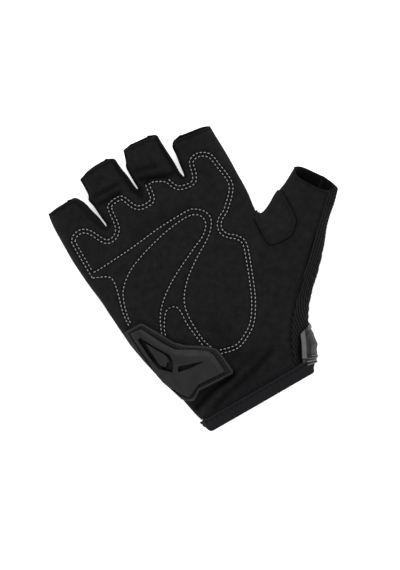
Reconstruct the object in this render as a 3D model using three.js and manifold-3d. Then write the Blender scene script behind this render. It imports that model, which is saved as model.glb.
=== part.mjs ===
// Fingerless glove for the right hand, empty, lying on its back with the palm up.
// Millimetres. x points to the thumb side, y to the fingertips, z up from the table.
import * as THREE from "three";
import { TessellateModifier } from "three/addons/modifiers/TessellateModifier.js";
import { mergeVertices } from "three/addons/utils/BufferGeometryUtils.js";
import Module from "manifold-3d";

const wasm = await Module();
wasm.setup();

// Walls and heights
const WALL = 1.5;
const HEM_PROUD = 0.5;
const PATCH_WALL = 1;
const SEAM_GAP = 0.4;
const LAID_ON_GAP = 0.8;
const SEAM_HEIGHT = 10;
const PALM_RISE = 13.5;
const BACK_DROP = 15;
const FILL_DISTANCE = 13.5;
const AT_EDGE = 0.002;
const MERGE_DISTANCE = 0.0001;
const CENTRE_SHIFT = { x: -0.1, y: -0.48 };

// Curl of the fingers and the thumb towards the palm
const FINGER_LIFT = { start: 20, length: 60, height: 3.5 };
const THUMB_LIFT = { start: 28, length: 56, height: 6, lean: 0.45, leanTop: 25 };

// The back lies flat on the table, and gives way where the strap crosses it
const TABLE_BLEND = 3;
const STRAP_WALL = 1.6;
const STRAP_CLEAR = 0.6;
const STRAP_EDGE_BLEND = 7;
const STRAP_MARGIN = 3.5;

// Seams between the finger strips and the panels, as distances from the glove's outline:
// at the web, then up the left finger of each gap to its tip, and up the right finger
const GAP_SEAMS = {
  pinkyRing: { webRow: 5, web: 1.8, middle: 3.3, tip: 0.7, right: 0.6 },
  ringMiddle: { webRow: 5, web: 3, middle: 2.3, tip: 2.3, right: 0.6 },
  middleIndex: { webRow: 6, web: 1.8, middle: 2.1, tip: 1.3, right: 0.6 },
};
const BACK_SEAM = 3.2;
const SIDE_PANEL_BACK_WIDTH = 9;

// Grid of the panels
const COLUMNS = { palm: 6, back: 4 };
const ROWS = { finger: 5, thumb: 5, upperHand: 5, lowerHand: 12 };
const LINE_STEPS = 6;

// Outline seen from above, clockwise with the glove on its right: x, y of each turn
const PINKY_EDGE = [
  [-58.3, -78.9], [-58.3, -74.9], [-60.2, -68.1], [-62.2, -57.4], [-63.6, -46.6],
  [-66.6, -35.5], [-71.6, -19.8], [-73.9, 2.9], [-74.4, 12.8], [-75.7, 24.4], [-76.8, 37.1],
  [-77.1, 46.4], [-76.6, 64.9], [-75.6, 72.9],
];
const PINKY_RING_GAP = [
  [-56.4, 73.0], [-53.8, 68.3], [-52.3, 62.2], [-50.8, 56.4], [-50.1, 51.4], [-49.7, 50.2],
  [-49.3, 51.8], [-49.8, 56.3], [-50.3, 63.6], [-51.1, 68.1], [-49.6, 71.7], [-49.5, 81.3],
];
const RING_MIDDLE_GAP = [
  [-25.8, 81.2], [-25.5, 75.4], [-24.5, 69.1], [-24.0, 62.8], [-23.7, 60.6], [-23.4, 59.8],
  [-23.0, 60.6], [-23.1, 66.1], [-22.9, 73.6], [-21.3, 76.8], [-19.2, 83.4],
];
const MIDDLE_INDEX_GAP = [
  [2.2, 80.9], [2.2, 75.4], [2.5, 69.0], [2.8, 62.1], [2.7, 56.8], [3.1, 53.9], [3.6, 52.7],
  [4.2, 54.4], [4.8, 59.3], [5.8, 66.1], [6.2, 70.5], [8.1, 73.3],
];
const THUMB_CROTCH_EDGE = [
  [31.5, 69.9], [31.6, 62.1], [31.9, 51.0], [31.6, 37.1], [31.3, 26.1], [30.1, 17.1],
  [30.1, 13.1], [32.2, 11.7], [37.7, 13.6], [44.6, 17.6], [52.1, 20.5], [60.8, 25.1],
];
const THUMB_EDGE = [
  [77.3, 2.4], [72.0, -3.5], [63.6, -10.7], [50.8, -25.8], [44.0, -33.0], [35.4, -41.2],
  [29.9, -47.1], [25.4, -53.7], [22.0, -60.2], [19.0, -67.2], [14.9, -75.0], [13.6, -79.0],
];

// Seam between the palm panel and the side panel, from the thumb tip to the hem: x, y
const SIDE_SEAM = [
  [73.4, 4.7], [65.5, -2.6], [56.8, -10.7], [46.4, -20.0], [33.6, -32.5], [21.5, -44.4],
  [13.3, -54.8], [7.5, -65.5], [4.4, -74.8],
];

// How far each opening's rim bows out past the line between its corners, how flat the bow is,
// and how far its top is skewed from the left corner (above 1) or towards it (below 1)
const RIMS = {
  pinky: { palm: -0.3, back: 1.15, flatness: 4, skew: 1.35 },
  ring: { palm: 1.2, back: 2.9, flatness: 3, skew: 1.3 },
  middle: { palm: -0.2, back: 1.8, flatness: 4, skew: 1.25 },
  index: { palm: -0.3, back: 2.0, flatness: 4, skew: 1 },
  thumb: { palm: -4.0, back: 3.1, flatness: 3.2, skew: 0.75 },
};
const RIM_REACH = 4;
const TIP_ROWS = 1.5;
const CUFF_TURN_ROWS = 2.5;

// Rows of the outline tables where the palm's grid turns
const PINKY_BASE_ROW = 11;
const PALM_MIDDLE_ROW = 8;
const INDEX_BASE_ROW = 2;
const CROTCH_ROW = 6;
const HEM_ROW = 1;

// Where the thumb leaves the hand, as a share of the way from its tip to the hem
const THUMB_BASE = { edgeShare: 0.32, seamShare: 0.375 };

// Main folds of the palm: a line between two points, how deep and how wide it is
const FOLDS = [
  { x1: -28, y1: -60.5, x2: -58, y2: -68.5, depth: 2.2, width: 3.2 },
  { x1: -9, y1: -62.5, x2: -50, y2: -73, depth: 1, width: 2.6 },
  { x1: -46, y1: 63.6, x2: -33, y2: 63.4, depth: 1, width: 2.2 },
  { x1: -19, y1: 63.6, x2: -2, y2: 57.2, depth: 1, width: 2.2 },
];

// Strap across the back: its middle line and half width, and the corners of its thumb end
const STRAP = {
  pinkyEnd: { x: -66, y: -43.5, half: 7.6 },
  thumbEnd: { x: 22, y: -66 },
  rootEnd: { x: 8.8, y: -62.6, lean: 2.2, half: 6.5 },
  edgeRows: { low: 3.4, high: 4.75 },
  foldInset: 0.8,
  widthSteps: 4,
  lengthSteps: 14,
  lengthSpacing: 1.5,
};

// Closure tab on the palm: x, y of its outline and of its raised middle
const TAB_OUTLINE = [
  [-72.5, -8.4], [-60.9, -8.4], [-59.4, -9.3], [-53.9, -18.6], [-49.3, -27.3], [-44.7, -31.9],
  [-33.1, -39.4], [-29.9, -42.9], [-28.9, -47.0], [-27.9, -58.6], [-28.9, -60.0],
  [-37.7, -59.7], [-50.5, -58.9], [-53.9, -61.3], [-55.6, -62.3], [-58.4, -61.5],
  [-60.6, -59.9], [-62.0, -58.0], [-62.9, -55.1], [-64.5, -49.9], [-66.5, -44.1],
  [-67.8, -37.1], [-69.8, -28.4], [-71.9, -16.8],
];
const TAB_MIDDLE = [
  [-69.0, -10.4], [-61.5, -11.3], [-55.1, -24.4], [-50.5, -31.3], [-43.5, -35.4],
  [-34.2, -41.8], [-33.1, -44.7], [-31.9, -56.8], [-49.3, -55.7], [-55.1, -58.6],
  [-58.0, -59.2], [-61.0, -55.6], [-63.2, -51.0], [-64.3, -49.0], [-66.2, -43.2],
  [-67.4, -36.3], [-68.5, -22.0],
];
const TAB_WINDOW = [
  [-66.4, -15.7], [-66.4, -22.0], [-65.0, -35.4], [-60.9, -40.3], [-59.2, -41.8],
  [-57.4, -40.0], [-56.0, -34.8], [-56.3, -31.3], [-60.9, -23.8], [-64.7, -15.7],
];
const TAB_SLOT = [
  [-56.3, -43.3], [-54.0, -40.9], [-40.2, -45.0], [-49.3, -44.3],
];
const TAB = {
  flange: 1.5,
  middle: 3.2,
  windowFloor: 1.8,
  cutAbove: 1,
  lift: 1.5,
  footDepth: 3.2,
  maxEdge: 7,
  splits: 8,
};

// Moulded strap anchor on the thumb side of the wrist: row on the thumb edge, clearance
// below it and thickness
const ROOT_ROWS = [
  { row: 7.6, lift: 0.8, wall: 1.2 },
  { row: 8.1, lift: 0.8, wall: 1.3 },
  { row: 8.7, lift: 0.8, wall: 2.0 },
  { row: 9.2, lift: 0.8, wall: 3.3 },
  { row: 9.45, lift: 0.9, wall: 2.8 },
  { row: 9.9, lift: 1.6, wall: 2.6 },
  { row: 10.1, lift: 1.8, wall: 1.8 },
  { row: 10.55, lift: 1.8, wall: 1.8 },
  { row: 10.8, lift: 1.8, wall: 1.1 },
];
// Its section from the palm side to the back side: share of the reach and of the thickness
const ROOT_REACH = { palm: 5.2, back: 4.2 };
const ROOT_SECTION = [
  { side: 1, share: 1, wall: 0.8 },
  { side: 1, share: 0.56, wall: 1.1 },
  { side: 1, share: 0.12, wall: 1 },
  { side: 0, share: 0, wall: 1 },
  { side: -1, share: 0.3, wall: 0.6 },
  { side: -1, share: 1, wall: 0.5 },
];

// Reinforcement patch in the thumb crotch: its lower outline, from the index side to the thumb
const PATCH_OUTLINE = [
  [26.2, 10.2], [26.0, 0.0], [26.2, -4.6], [27.6, -6.9], [32.0, -7.8], [37.7, -8.1],
  [41.0, -7.2], [44.6, -4.4], [46.9, -0.8], [47.6, 5.0], [47.8, 11.0], [47.9, 17.3],
];
const PATCH_EDGE = { firstRow: 5.4, lastRow: 9.3, inset: 0.4 };
const PATCH_GRID = { rows: 5, columns: 10, spacing: 1.6 };

// Rim of the cuff: how flat it stays before it rounds off at the pinky and the thumb corner
const CUFF_GRID = { rows: 3, columns: 20, pinkyCorner: 20, thumbCorner: 50, bow: 3.9 };

// Columns of a band that wraps round an outline: side of the glove and share of its reach
const BAND = [
  { side: 1, share: 1 }, { side: 1, share: 0.35 }, { side: 0, share: 0 },
  { side: -1, share: 0.35 }, { side: -1, share: 1 },
];
const SIDE_PANEL_SHARES = [1, 0.45, 0.12];

const vec = ([x, y]) => new THREE.Vector2(x, y);
const clamp01 = (value) => Math.min(1, Math.max(0, value));
const smooth = (value) => clamp01(value) ** 2 * (3 - 2 * clamp01(value));
const mix = (a, b, share) => a.clone().lerp(b, share);
const roundSpacing = (share) => (1 - Math.cos(Math.PI * share)) / 2;
const between = (from, to, share) => from + (to - from) * share;
const range = (count) => Array.from({ length: count + 1 }, (_, i) => i / count);

// An outline: a smooth curve through the rows of its table, as a line of short steps
function makeEdge(table, seams) {
  const curve = new THREE.SplineCurve(table.map(vec));
  const last = table.length - 1;
  const line = curve.getPoints(last * LINE_STEPS);
  const inwards = line.map((_, i) => {
    const tangent = line[Math.min(i + 1, line.length - 1)].clone().sub(line[Math.max(i - 1, 0)]);
    return new THREE.Vector2(tangent.y, -tangent.x).normalize();
  });
  return { last, seams, line, inwards };
}

const EDGES = {
  pinky: makeEdge(PINKY_EDGE),
  pinkyRing: makeEdge(PINKY_RING_GAP, GAP_SEAMS.pinkyRing),
  ringMiddle: makeEdge(RING_MIDDLE_GAP, GAP_SEAMS.ringMiddle),
  middleIndex: makeEdge(MIDDLE_INDEX_GAP, GAP_SEAMS.middleIndex),
  crotch: makeEdge(THUMB_CROTCH_EDGE),
  thumb: makeEdge(THUMB_EDGE),
};
const SEAM_CURVE = makeEdge(SIDE_SEAM);

// Openings of the stubs: each lies between the ends of two outlines
const STUBS = {
  pinky: { left: EDGES.pinky, right: EDGES.pinkyRing },
  ring: { left: EDGES.pinkyRing, right: EDGES.ringMiddle },
  middle: { left: EDGES.ringMiddle, right: EDGES.middleIndex },
  index: { left: EDGES.middleIndex, right: EDGES.crotch },
  thumb: { left: EDGES.crotch, right: EDGES.thumb },
};
for (const [name, stub] of Object.entries(STUBS)) {
  const corner = stub.left.line[stub.left.line.length - 1];
  const across = stub.right.line[0].clone().sub(corner);
  Object.assign(stub, RIMS[name], { corner, width: across.length(), across: across.normalize() });
  stub.left.endsInto = stub.across;
  stub.left.endStub = stub;
  stub.right.startsInto = stub.across.clone().negate();
  stub.right.startStub = stub;
}

// Point of an outline at a row of its table, moved into the glove by an inset
function edgePoint(edge, row, inset = AT_EDGE) {
  const position = clamp01(row / edge.last) * (edge.line.length - 1);
  const step = Math.min(Math.floor(position), edge.line.length - 2);
  const share = position - step;
  const inwards = mix(edge.inwards[step], edge.inwards[step + 1], share).normalize();
  if (edge.startsInto) {
    inwards.lerp(edge.startsInto, smooth(1 - row / TIP_ROWS)).normalize();
  }
  if (edge.endsInto) {
    inwards.lerp(edge.endsInto, smooth(1 - (edge.last - row) / TIP_ROWS)).normalize();
  }
  return mix(edge.line[step], edge.line[step + 1], share).addScaledVector(inwards, inset);
}

// Moves a place near an opening out with the bow of its rim: up is 1 at the rim itself
function bowed(place, stub, side, up) {
  if (side === 0) {
    return place;
  }
  const share = clamp01(place.clone().sub(stub.corner).dot(stub.across) / stub.width);
  const bow = 1 - Math.abs(2 * share ** stub.skew - 1) ** stub.flatness;
  const out = (side > 0 ? stub.palm : stub.back) * bow * clamp01(up) ** RIM_REACH;
  return place.clone().add(new THREE.Vector2(-stub.across.y, stub.across.x).multiplyScalar(out));
}

function nearestOnLine(line, x, y) {
  let best = { distance: Infinity, dx: 0, dy: 0 };
  for (let i = 0; i + 1 < line.length; i += 1) {
    const a = line[i];
    const b = line[i + 1];
    const lengthSquared = (b.x - a.x) ** 2 + (b.y - a.y) ** 2;
    const share = clamp01(((x - a.x) * (b.x - a.x) + (y - a.y) * (b.y - a.y)) / lengthSquared);
    const dx = x - a.x - share * (b.x - a.x);
    const dy = y - a.y - share * (b.y - a.y);
    const distance = Math.hypot(dx, dy);
    if (distance < best.distance) {
      best = { distance, dx, dy };
    }
  }
  return best;
}

// How deep inside the outline a place is, and the direction that leads deeper
function depthInside(x, y) {
  let sum = 0;
  let gx = 0;
  let gy = 0;
  for (const edge of Object.values(EDGES)) {
    const near = nearestOnLine(edge.line, x, y);
    const distance = Math.max(near.distance, AT_EDGE / 2);
    sum += distance ** -2;
    gx += near.dx / distance ** 4;
    gy += near.dy / distance ** 4;
  }
  const depth = sum ** -0.5;
  return { depth, gx: gx * depth ** 3, gy: gy * depth ** 3 };
}

function seamHeight(x, y) {
  const finger = clamp01((y - FINGER_LIFT.start) / FINGER_LIFT.length);
  const alongThumb = x - THUMB_LIFT.start + THUMB_LIFT.lean * Math.min(y, THUMB_LIFT.leanTop);
  const thumb = clamp01(alongThumb / THUMB_LIFT.length);
  return SEAM_HEIGHT + FINGER_LIFT.height * finger ** 2 + THUMB_LIFT.height * thumb ** 2;
}

function foldDepth(x, y) {
  let total = 0;
  for (const fold of FOLDS) {
    const line = [new THREE.Vector2(fold.x1, fold.y1), new THREE.Vector2(fold.x2, fold.y2)];
    total += fold.depth * Math.exp(-((nearestOnLine(line, x, y).distance / fold.width) ** 2));
  }
  return total;
}

// Lowest height of the back: the table, or at the wrist the strap that it lies on
function restHeight(x, y) {
  const { pinkyEnd, thumbEnd } = STRAP;
  const length = Math.hypot(thumbEnd.x - pinkyEnd.x, thumbEnd.y - pinkyEnd.y);
  const aboveMiddle = ((thumbEnd.x - pinkyEnd.x) * (y - pinkyEnd.y)
    - (thumbEnd.y - pinkyEnd.y) * (x - pinkyEnd.x)) / length;
  const away = (aboveMiddle - pinkyEnd.half - STRAP_MARGIN) / STRAP_EDGE_BLEND;
  return (STRAP_WALL + STRAP_CLEAR) * (1 - smooth(away));
}

// Outer surface of the glove over a place: side is 1 on the palm, -1 on the back, 0 at the edge.
// What is too stiff to bend over the edge keeps the height that it has at a least depth.
function surface(place, side, leastDepth = 0) {
  const { x, y } = place;
  const { depth: ownDepth, gx, gy } = depthInside(x, y);
  const depth = Math.max(ownDepth, leastDepth);
  const fill = side === 0 ? 0 : Math.sqrt(1 - Math.exp(-depth / FILL_DISTANCE));
  const rise = side > 0 ? PALM_RISE : BACK_DROP;
  let z = seamHeight(x, y) + side * rise * fill;
  let steep = rise * (1 - fill ** 2);
  if (side > 0) {
    z -= foldDepth(x, y) * fill;
  }
  if (side < 0) {
    const floor = restHeight(x, y);
    const free = clamp01(0.5 + (0.5 * (z - floor)) / TABLE_BLEND);
    z = free * z + (1 - free) * floor + TABLE_BLEND * free * (1 - free);
    steep *= free;
  }
  const normal = new THREE.Vector3(-gx * steep, -gy * steep, side * 2 * FILL_DISTANCE * fill);
  return { point: new THREE.Vector3(x, y, z), normal: normal.normalize() };
}

// A sheet of the glove's surface that becomes a wall between two offsets from it
class Sheet {
  constructor() {
    this.vertices = [];
    this.triangles = [];
    this.known = new Map();
  }

  add(place, side, { low, high }) {
    const key = `${place.x.toFixed(4)} ${place.y.toFixed(4)} ${side}`;
    if (!this.known.has(key)) {
      this.known.set(key, this.vertices.length);
      this.vertices.push({ ...surface(place, side), low, high });
    }
    return this.known.get(key);
  }

  // Rows of places with the side of each column, and the low and high offset at each place
  addGrid(rows, sides, offsetsAt, flip) {
    const ids = rows.map((row, r) =>
      row.map((place, column) => this.add(place, sides[column], offsetsAt(r, column))));
    for (let r = 0; r + 1 < ids.length; r += 1) {
      for (let c = 0; c + 1 < ids[r].length; c += 1) {
        const quad = [ids[r][c], ids[r][c + 1], ids[r + 1][c + 1], ids[r + 1][c]];
        if (flip) {
          quad.reverse();
        }
        this.triangles.push([quad[0], quad[1], quad[2]], [quad[0], quad[2], quad[3]]);
      }
    }
  }

  solid() {
    const count = this.vertices.length;
    const positions = [];
    for (const { point, normal, high } of this.vertices) {
      positions.push(...point.clone().addScaledVector(normal, high).toArray());
    }
    for (const { point, normal, low } of this.vertices) {
      positions.push(...point.clone().addScaledVector(normal, low).toArray());
    }
    const real = this.triangles.filter(([a, b, c]) => a !== b && b !== c && c !== a);
    const directed = new Set();
    for (const [a, b, c] of real) {
      directed.add(`${a} ${b}`);
      directed.add(`${b} ${c}`);
      directed.add(`${c} ${a}`);
    }
    const indices = [];
    for (const [a, b, c] of real) {
      indices.push(a, b, c, c + count, b + count, a + count);
      for (const [from, to] of [[a, b], [b, c], [c, a]]) {
        if (!directed.has(`${to} ${from}`)) {
          indices.push(to, from, from + count, to, from + count, to + count);
        }
      }
    }
    const geometry = new THREE.BufferGeometry();
    geometry.setAttribute("position", new THREE.Float32BufferAttribute(positions, 3));
    geometry.setIndex(indices);
    geometry.computeVertexNormals();
    return geometry;
  }
}

const GLOVE_WALL = () => ({ low: -WALL, high: 0 });

// Distance of a strip's seam from the outline of a finger gap, on the palm or on the back
function stripInset({ seams, last }, row, side) {
  const { webRow, web, middle, tip, right } = seams;
  const onLeftFinger = row < webRow;
  const up = Math.abs(row - webRow) / (onLeftFinger ? webRow : last - webRow);
  if (side < 0) {
    return between(web, BACK_SEAM, smooth(up * 2));
  }
  if (onLeftFinger) {
    return between(web, middle, smooth(up * 2)) + (tip - middle) * clamp01(up * 2 - 1) ** RIM_REACH;
  }
  return between(web, right, smooth(up * RIM_REACH));
}

// Edge of a panel along an outline: at the outline itself, or along a strip's seam
function panelEdge(edge, row, side) {
  return edgePoint(edge, row, edge.seams ? stripInset(edge, row, side) + SEAM_GAP / 2 : AT_EDGE);
}

// Seam of the side panel on the back: an inset from the edge, level where it meets the hem
function backSeam(row, inset) {
  const edge = EDGES.thumb;
  const level = edgePoint(edge, row).sub(new THREE.Vector2(inset, 0));
  const levelShare = smooth(1 - (edge.last - HEM_ROW - row) / CUFF_TURN_ROWS);
  return mix(edgePoint(edge, row, inset), level, levelShare);
}

function sideSeam(share, side) {
  if (side > 0) {
    return edgePoint(SEAM_CURVE, share * SEAM_CURVE.last, SEAM_GAP / 2);
  }
  const row = share * (EDGES.thumb.last - HEM_ROW);
  return backSeam(row, SIDE_PANEL_BACK_WIDTH + SEAM_GAP / 2);
}

function rowBetween(left, right, columns) {
  return range(columns).map((share) => mix(left, right, roundSpacing(share)));
}

// Rows of a stub from its base to its rim
function stubRows(stub, side, leftAt, rightAt, columns, rowCount) {
  return range(rowCount).map((up) =>
    rowBetween(leftAt(up), rightAt(up), columns).map((place) => bowed(place, stub, side, up)));
}

// Rows between a top row and a bottom row whose ends follow two side curves
function blendedRows(top, bottom, leftAt, rightAt, shares) {
  const last = top.length - 1;
  const topShare = top.map((place) => place.distanceTo(top[0]) / top[last].distanceTo(top[0]));
  const bottomShare = bottom.map((place) =>
    place.distanceTo(bottom[0]) / bottom[last].distanceTo(bottom[0]));
  return shares.map((down) => {
    const leftShift = leftAt(down).sub(mix(top[0], bottom[0], down));
    const rightShift = rightAt(down).sub(mix(top[last], bottom[last], down));
    return top.map((place, column) => {
      const share = clamp01(topShare[column] + (bottomShare[column] - topShare[column]) * down);
      return mix(place, bottom[column], down)
        .addScaledVector(leftShift, 1 - share)
        .addScaledVector(rightShift, share);
    });
  });
}

// Palm panel or back panel: four finger stubs, the thumb and the hand, in one piece
function handPanel(side) {
  const { pinky, crotch } = EDGES;
  const { thumb: thumbStub, ...fingers } = STUBS;
  const sheet = new Sheet();
  const rim = side > 0 ? "palm" : "back";
  const addRows = (rows) => sheet.addGrid(rows, rows[0].map(() => side), GLOVE_WALL, side < 0);

  const knuckleRow = [];
  for (const stub of Object.values(fingers)) {
    const { left, right } = stub;
    const leftBase = left === pinky ? PINKY_BASE_ROW : left.seams.webRow;
    const rightBase = right === crotch ? INDEX_BASE_ROW : right.seams.webRow;
    const rows = stubRows(
      stub, side,
      (share) => panelEdge(left, between(leftBase, left.last, share), side),
      (share) => panelEdge(right, between(rightBase, 0, share), side),
      COLUMNS[rim], ROWS.finger);
    addRows(rows);
    knuckleRow.push(...rows[0].slice(knuckleRow.length ? 1 : 0));
  }

  const crotchPoint = panelEdge(crotch, CROTCH_ROW, side);
  const sidePoint = panelEdge(pinky, PALM_MIDDLE_ROW, side);
  const middleRow = rowBetween(sidePoint, crotchPoint, knuckleRow.length - 1);
  addRows(blendedRows(
    knuckleRow, middleRow,
    (down) => panelEdge(pinky, between(PINKY_BASE_ROW, PALM_MIDDLE_ROW, down), side),
    (down) => panelEdge(crotch, between(INDEX_BASE_ROW, CROTCH_ROW, down), side),
    range(ROWS.upperHand)).reverse());

  const thumbSeamShare = side > 0 ? THUMB_BASE.seamShare : THUMB_BASE.edgeShare;
  const thumbRows = stubRows(
    thumbStub, side,
    (share) => panelEdge(crotch, between(CROTCH_ROW, crotch.last, share), side),
    (share) => sideSeam(between(thumbSeamShare, 0, share), side),
    COLUMNS[rim], ROWS.thumb);
  addRows(thumbRows);

  const wristRow = [...middleRow, ...thumbRows[0].slice(1)];
  const up = new THREE.Vector2(0, SEAM_GAP / 2);
  const hemLeft = panelEdge(pinky, HEM_ROW, side).add(up);
  const hemRight = sideSeam(1, side).add(up);
  addRows(blendedRows(
    wristRow, rowBetween(hemLeft, hemRight, wristRow.length - 1),
    (down) => panelEdge(pinky, between(PALM_MIDDLE_ROW, HEM_ROW, down), side).addScaledVector(up, down),
    (down) => sideSeam(between(thumbSeamShare, 1, down), side).addScaledVector(up, down),
    range(ROWS.lowerHand)).reverse());
  return sheet.solid();
}

// A band that runs along an outline and wraps around it, from the palm side to the back side
function edgeBand(edge, rows, reachAt, columns) {
  return rows.map((row) => columns.map(({ side, share }) =>
    edgePoint(edge, row, Math.max(reachAt(row, side) * share, AT_EDGE))));
}

// Strip between two fingers: up one side of the gap, round the web and up the other side
function fingerStrip(edge) {
  const { webRow } = edge.seams;
  const down = range(ROWS.finger).map((share) => between(0, webRow, share));
  const up = range(ROWS.finger).map((share) => between(webRow, edge.last, share));
  const rows = [...down, ...up.slice(1)];
  const band = edgeBand(edge, rows, (row, side) => stripInset(edge, row, side) - SEAM_GAP / 2, BAND);
  const shaped = band.map((places, r) => places.map((place, column) => {
    const row = rows[r];
    const { side } = BAND[column];
    return row < webRow
      ? bowed(place, edge.startStub, side, 1 - row / webRow)
      : bowed(place, edge.endStub, side, (row - webRow) / (edge.last - webRow));
  }));
  const sheet = new Sheet();
  sheet.addGrid(shaped, BAND.map(({ side }) => side), GLOVE_WALL, true);
  return sheet.solid();
}

// Ribbed panel along the outer edge of the thumb and the wrist
function sidePanel() {
  const lastRow = EDGES.thumb.last - HEM_ROW;
  const onThumb = range(ROWS.thumb).map((share) => [share, 0]);
  const onHand = range(ROWS.lowerHand).map((share) => [1, share]);
  const rows = [...onThumb, ...onHand.slice(1)].map(([onThumbShare, onHandShare]) => {
    const shareFrom = (base) => base * onThumbShare + (1 - base) * onHandShare;
    const edgeRow = shareFrom(THUMB_BASE.edgeShare) * lastRow;
    const up = new THREE.Vector2(0, (SEAM_GAP / 2) * onHandShare);
    const seamRow = shareFrom(THUMB_BASE.seamShare) * SEAM_CURVE.last;
    const seam = edgePoint(SEAM_CURVE, seamRow, -SEAM_GAP / 2).add(up);
    const edge = edgePoint(EDGES.thumb, edgeRow).add(up);
    const back = backSeam(edgeRow, SIDE_PANEL_BACK_WIDTH - SEAM_GAP / 2).add(up);
    const placesTo = (end, side) => SIDE_PANEL_SHARES.map((share) =>
      bowed(mix(edge, end, share), STUBS.thumb, side, 1 - onThumbShare));
    return [...placesTo(seam, 1), edge, ...placesTo(back, -1).reverse()];
  });
  const sheet = new Sheet();
  sheet.addGrid(rows, [1, 1, 1, 0, -1, -1, -1], GLOVE_WALL, true);
  return sheet.solid();
}

// Turned hem around the cuff mouth, a closed loop
function cuffHem() {
  const placesAt = (share) => {
    const row = HEM_ROW * (1 - share);
    const left = edgePoint(EDGES.pinky, row);
    const right = edgePoint(EDGES.thumb, EDGES.thumb.last - row);
    return range(CUFF_GRID.columns).map((across) => {
      const spaced = roundSpacing(across);
      const corner = spaced < 0.5 ? CUFF_GRID.pinkyCorner : CUFF_GRID.thumbCorner;
      const bow = (1 - Math.abs(2 * spaced - 1) ** corner) * share;
      const place = mix(left, right, spaced);
      place.y -= CUFF_GRID.bow * bow + (SEAM_GAP / 2) * (1 - share);
      return place;
    });
  };
  const rows = range(CUFF_GRID.rows).map((share) => {
    const palm = placesAt(share);
    const back = placesAt(share).reverse();
    return [...palm, ...back.slice(1, -1), palm[0]];
  });
  const inner = CUFF_GRID.columns - 1;
  const sides = [0, ...Array(inner).fill(1), 0, ...Array(inner).fill(-1), 0];
  const sheet = new Sheet();
  sheet.addGrid(rows, sides, () => ({ low: -WALL, high: HEM_PROUD }), true);
  return sheet.solid();
}

// Soft strap across the back, from the tab's side of the hand to the anchor
function wristStrap() {
  const { rootEnd, edgeRows, foldInset, widthSteps, lengthSteps, lengthSpacing } = STRAP;
  const rows = range(widthSteps).map((share) => {
    const edgeRow = between(edgeRows.low, edgeRows.high, share);
    const half = between(-1, 1, share);
    const end = new THREE.Vector2(rootEnd.x + half * rootEnd.lean, rootEnd.y + half * rootEnd.half);
    const start = edgePoint(EDGES.pinky, edgeRow, foldInset);
    const across = range(lengthSteps).map((step) => mix(start, end, step ** lengthSpacing));
    return [edgePoint(EDGES.pinky, edgeRow), ...across];
  });
  const sides = [0, ...Array(lengthSteps + 1).fill(-1)];
  const sheet = new Sheet();
  sheet.addGrid(rows, sides, () => ({ low: STRAP_CLEAR, high: STRAP_CLEAR + STRAP_WALL }), true);
  return sheet.solid();
}

// Moulded anchor of the strap, wrapped around the thumb side of the wrist
function strapRoot() {
  const rows = edgeBand(
    EDGES.thumb, ROOT_ROWS.map(({ row }) => row),
    (row, side) => (side > 0 ? ROOT_REACH.palm : ROOT_REACH.back), ROOT_SECTION);
  const sheet = new Sheet();
  sheet.addGrid(
    rows, ROOT_SECTION.map(({ side }) => side),
    (row, column) => {
      const { lift, wall } = ROOT_ROWS[row];
      return { low: lift, high: lift + wall * ROOT_SECTION[column].wall };
    },
    true);
  return sheet.solid();
}

// Reinforcement in the crotch of the thumb, lying on the palm panel
function thumbPatch() {
  const outline = makeEdge(PATCH_OUTLINE);
  const { firstRow, lastRow, inset } = PATCH_EDGE;
  const rows = range(PATCH_GRID.rows).map((share) => range(PATCH_GRID.columns).map((across) => {
    const top = edgePoint(EDGES.crotch, between(firstRow, lastRow, across), inset);
    const bottom = edgePoint(outline, across * outline.last, 0);
    return mix(top, bottom, share ** PATCH_GRID.spacing);
  }));
  const sheet = new Sheet();
  const laidOn = () => ({ low: LAID_ON_GAP, high: LAID_ON_GAP + PATCH_WALL });
  sheet.addGrid(rows, rows[0].map(() => 1), laidOn, true);
  return sheet.solid();
}

function toManifold(geometry) {
  const bare = geometry.clone();
  bare.deleteAttribute("normal");
  bare.deleteAttribute("uv");
  const merged = mergeVertices(bare, MERGE_DISTANCE);
  return new wasm.Manifold(new wasm.Mesh({
    numProp: 3,
    vertProperties: new Float32Array(merged.attributes.position.array),
    triVerts: new Uint32Array(merged.index.array),
  }));
}

function fromManifold(solid) {
  const mesh = solid.getMesh();
  const geometry = new THREE.BufferGeometry();
  geometry.setAttribute("position", new THREE.BufferAttribute(mesh.vertProperties, 3));
  geometry.setIndex(new THREE.BufferAttribute(mesh.triVerts, 1));
  return geometry;
}

function slab(outline, bottom, top) {
  const shape = new THREE.Shape(outline.map(vec));
  const geometry = new THREE.ExtrudeGeometry(shape, { depth: top - bottom, bevelEnabled: false });
  geometry.translate(0, 0, bottom);
  return toManifold(geometry);
}

// Moulded tab: a flange, a raised middle with a window and a slot, bent over the palm
function strapTab() {
  const flat = slab(TAB_OUTLINE, 0, TAB.flange)
    .add(slab(TAB_MIDDLE, TAB.flange / 2, TAB.middle))
    .subtract(slab(TAB_WINDOW, TAB.windowFloor, TAB.middle + TAB.cutAbove))
    .subtract(slab(TAB_SLOT, TAB.windowFloor, TAB.middle + TAB.cutAbove));
  const pieces = new TessellateModifier(TAB.maxEdge, TAB.splits).modify(fromManifold(flat));
  pieces.deleteAttribute("normal");
  const geometry = mergeVertices(pieces, MERGE_DISTANCE);
  const position = geometry.attributes.position;
  for (let i = 0; i < position.count; i += 1) {
    const place = new THREE.Vector2(position.getX(i), position.getY(i));
    const foot = surface(place, 1, TAB.footDepth).point.z;
    position.setZ(i, foot + TAB.lift + position.getZ(i));
  }
  geometry.computeVertexNormals();
  return geometry;
}

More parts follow.
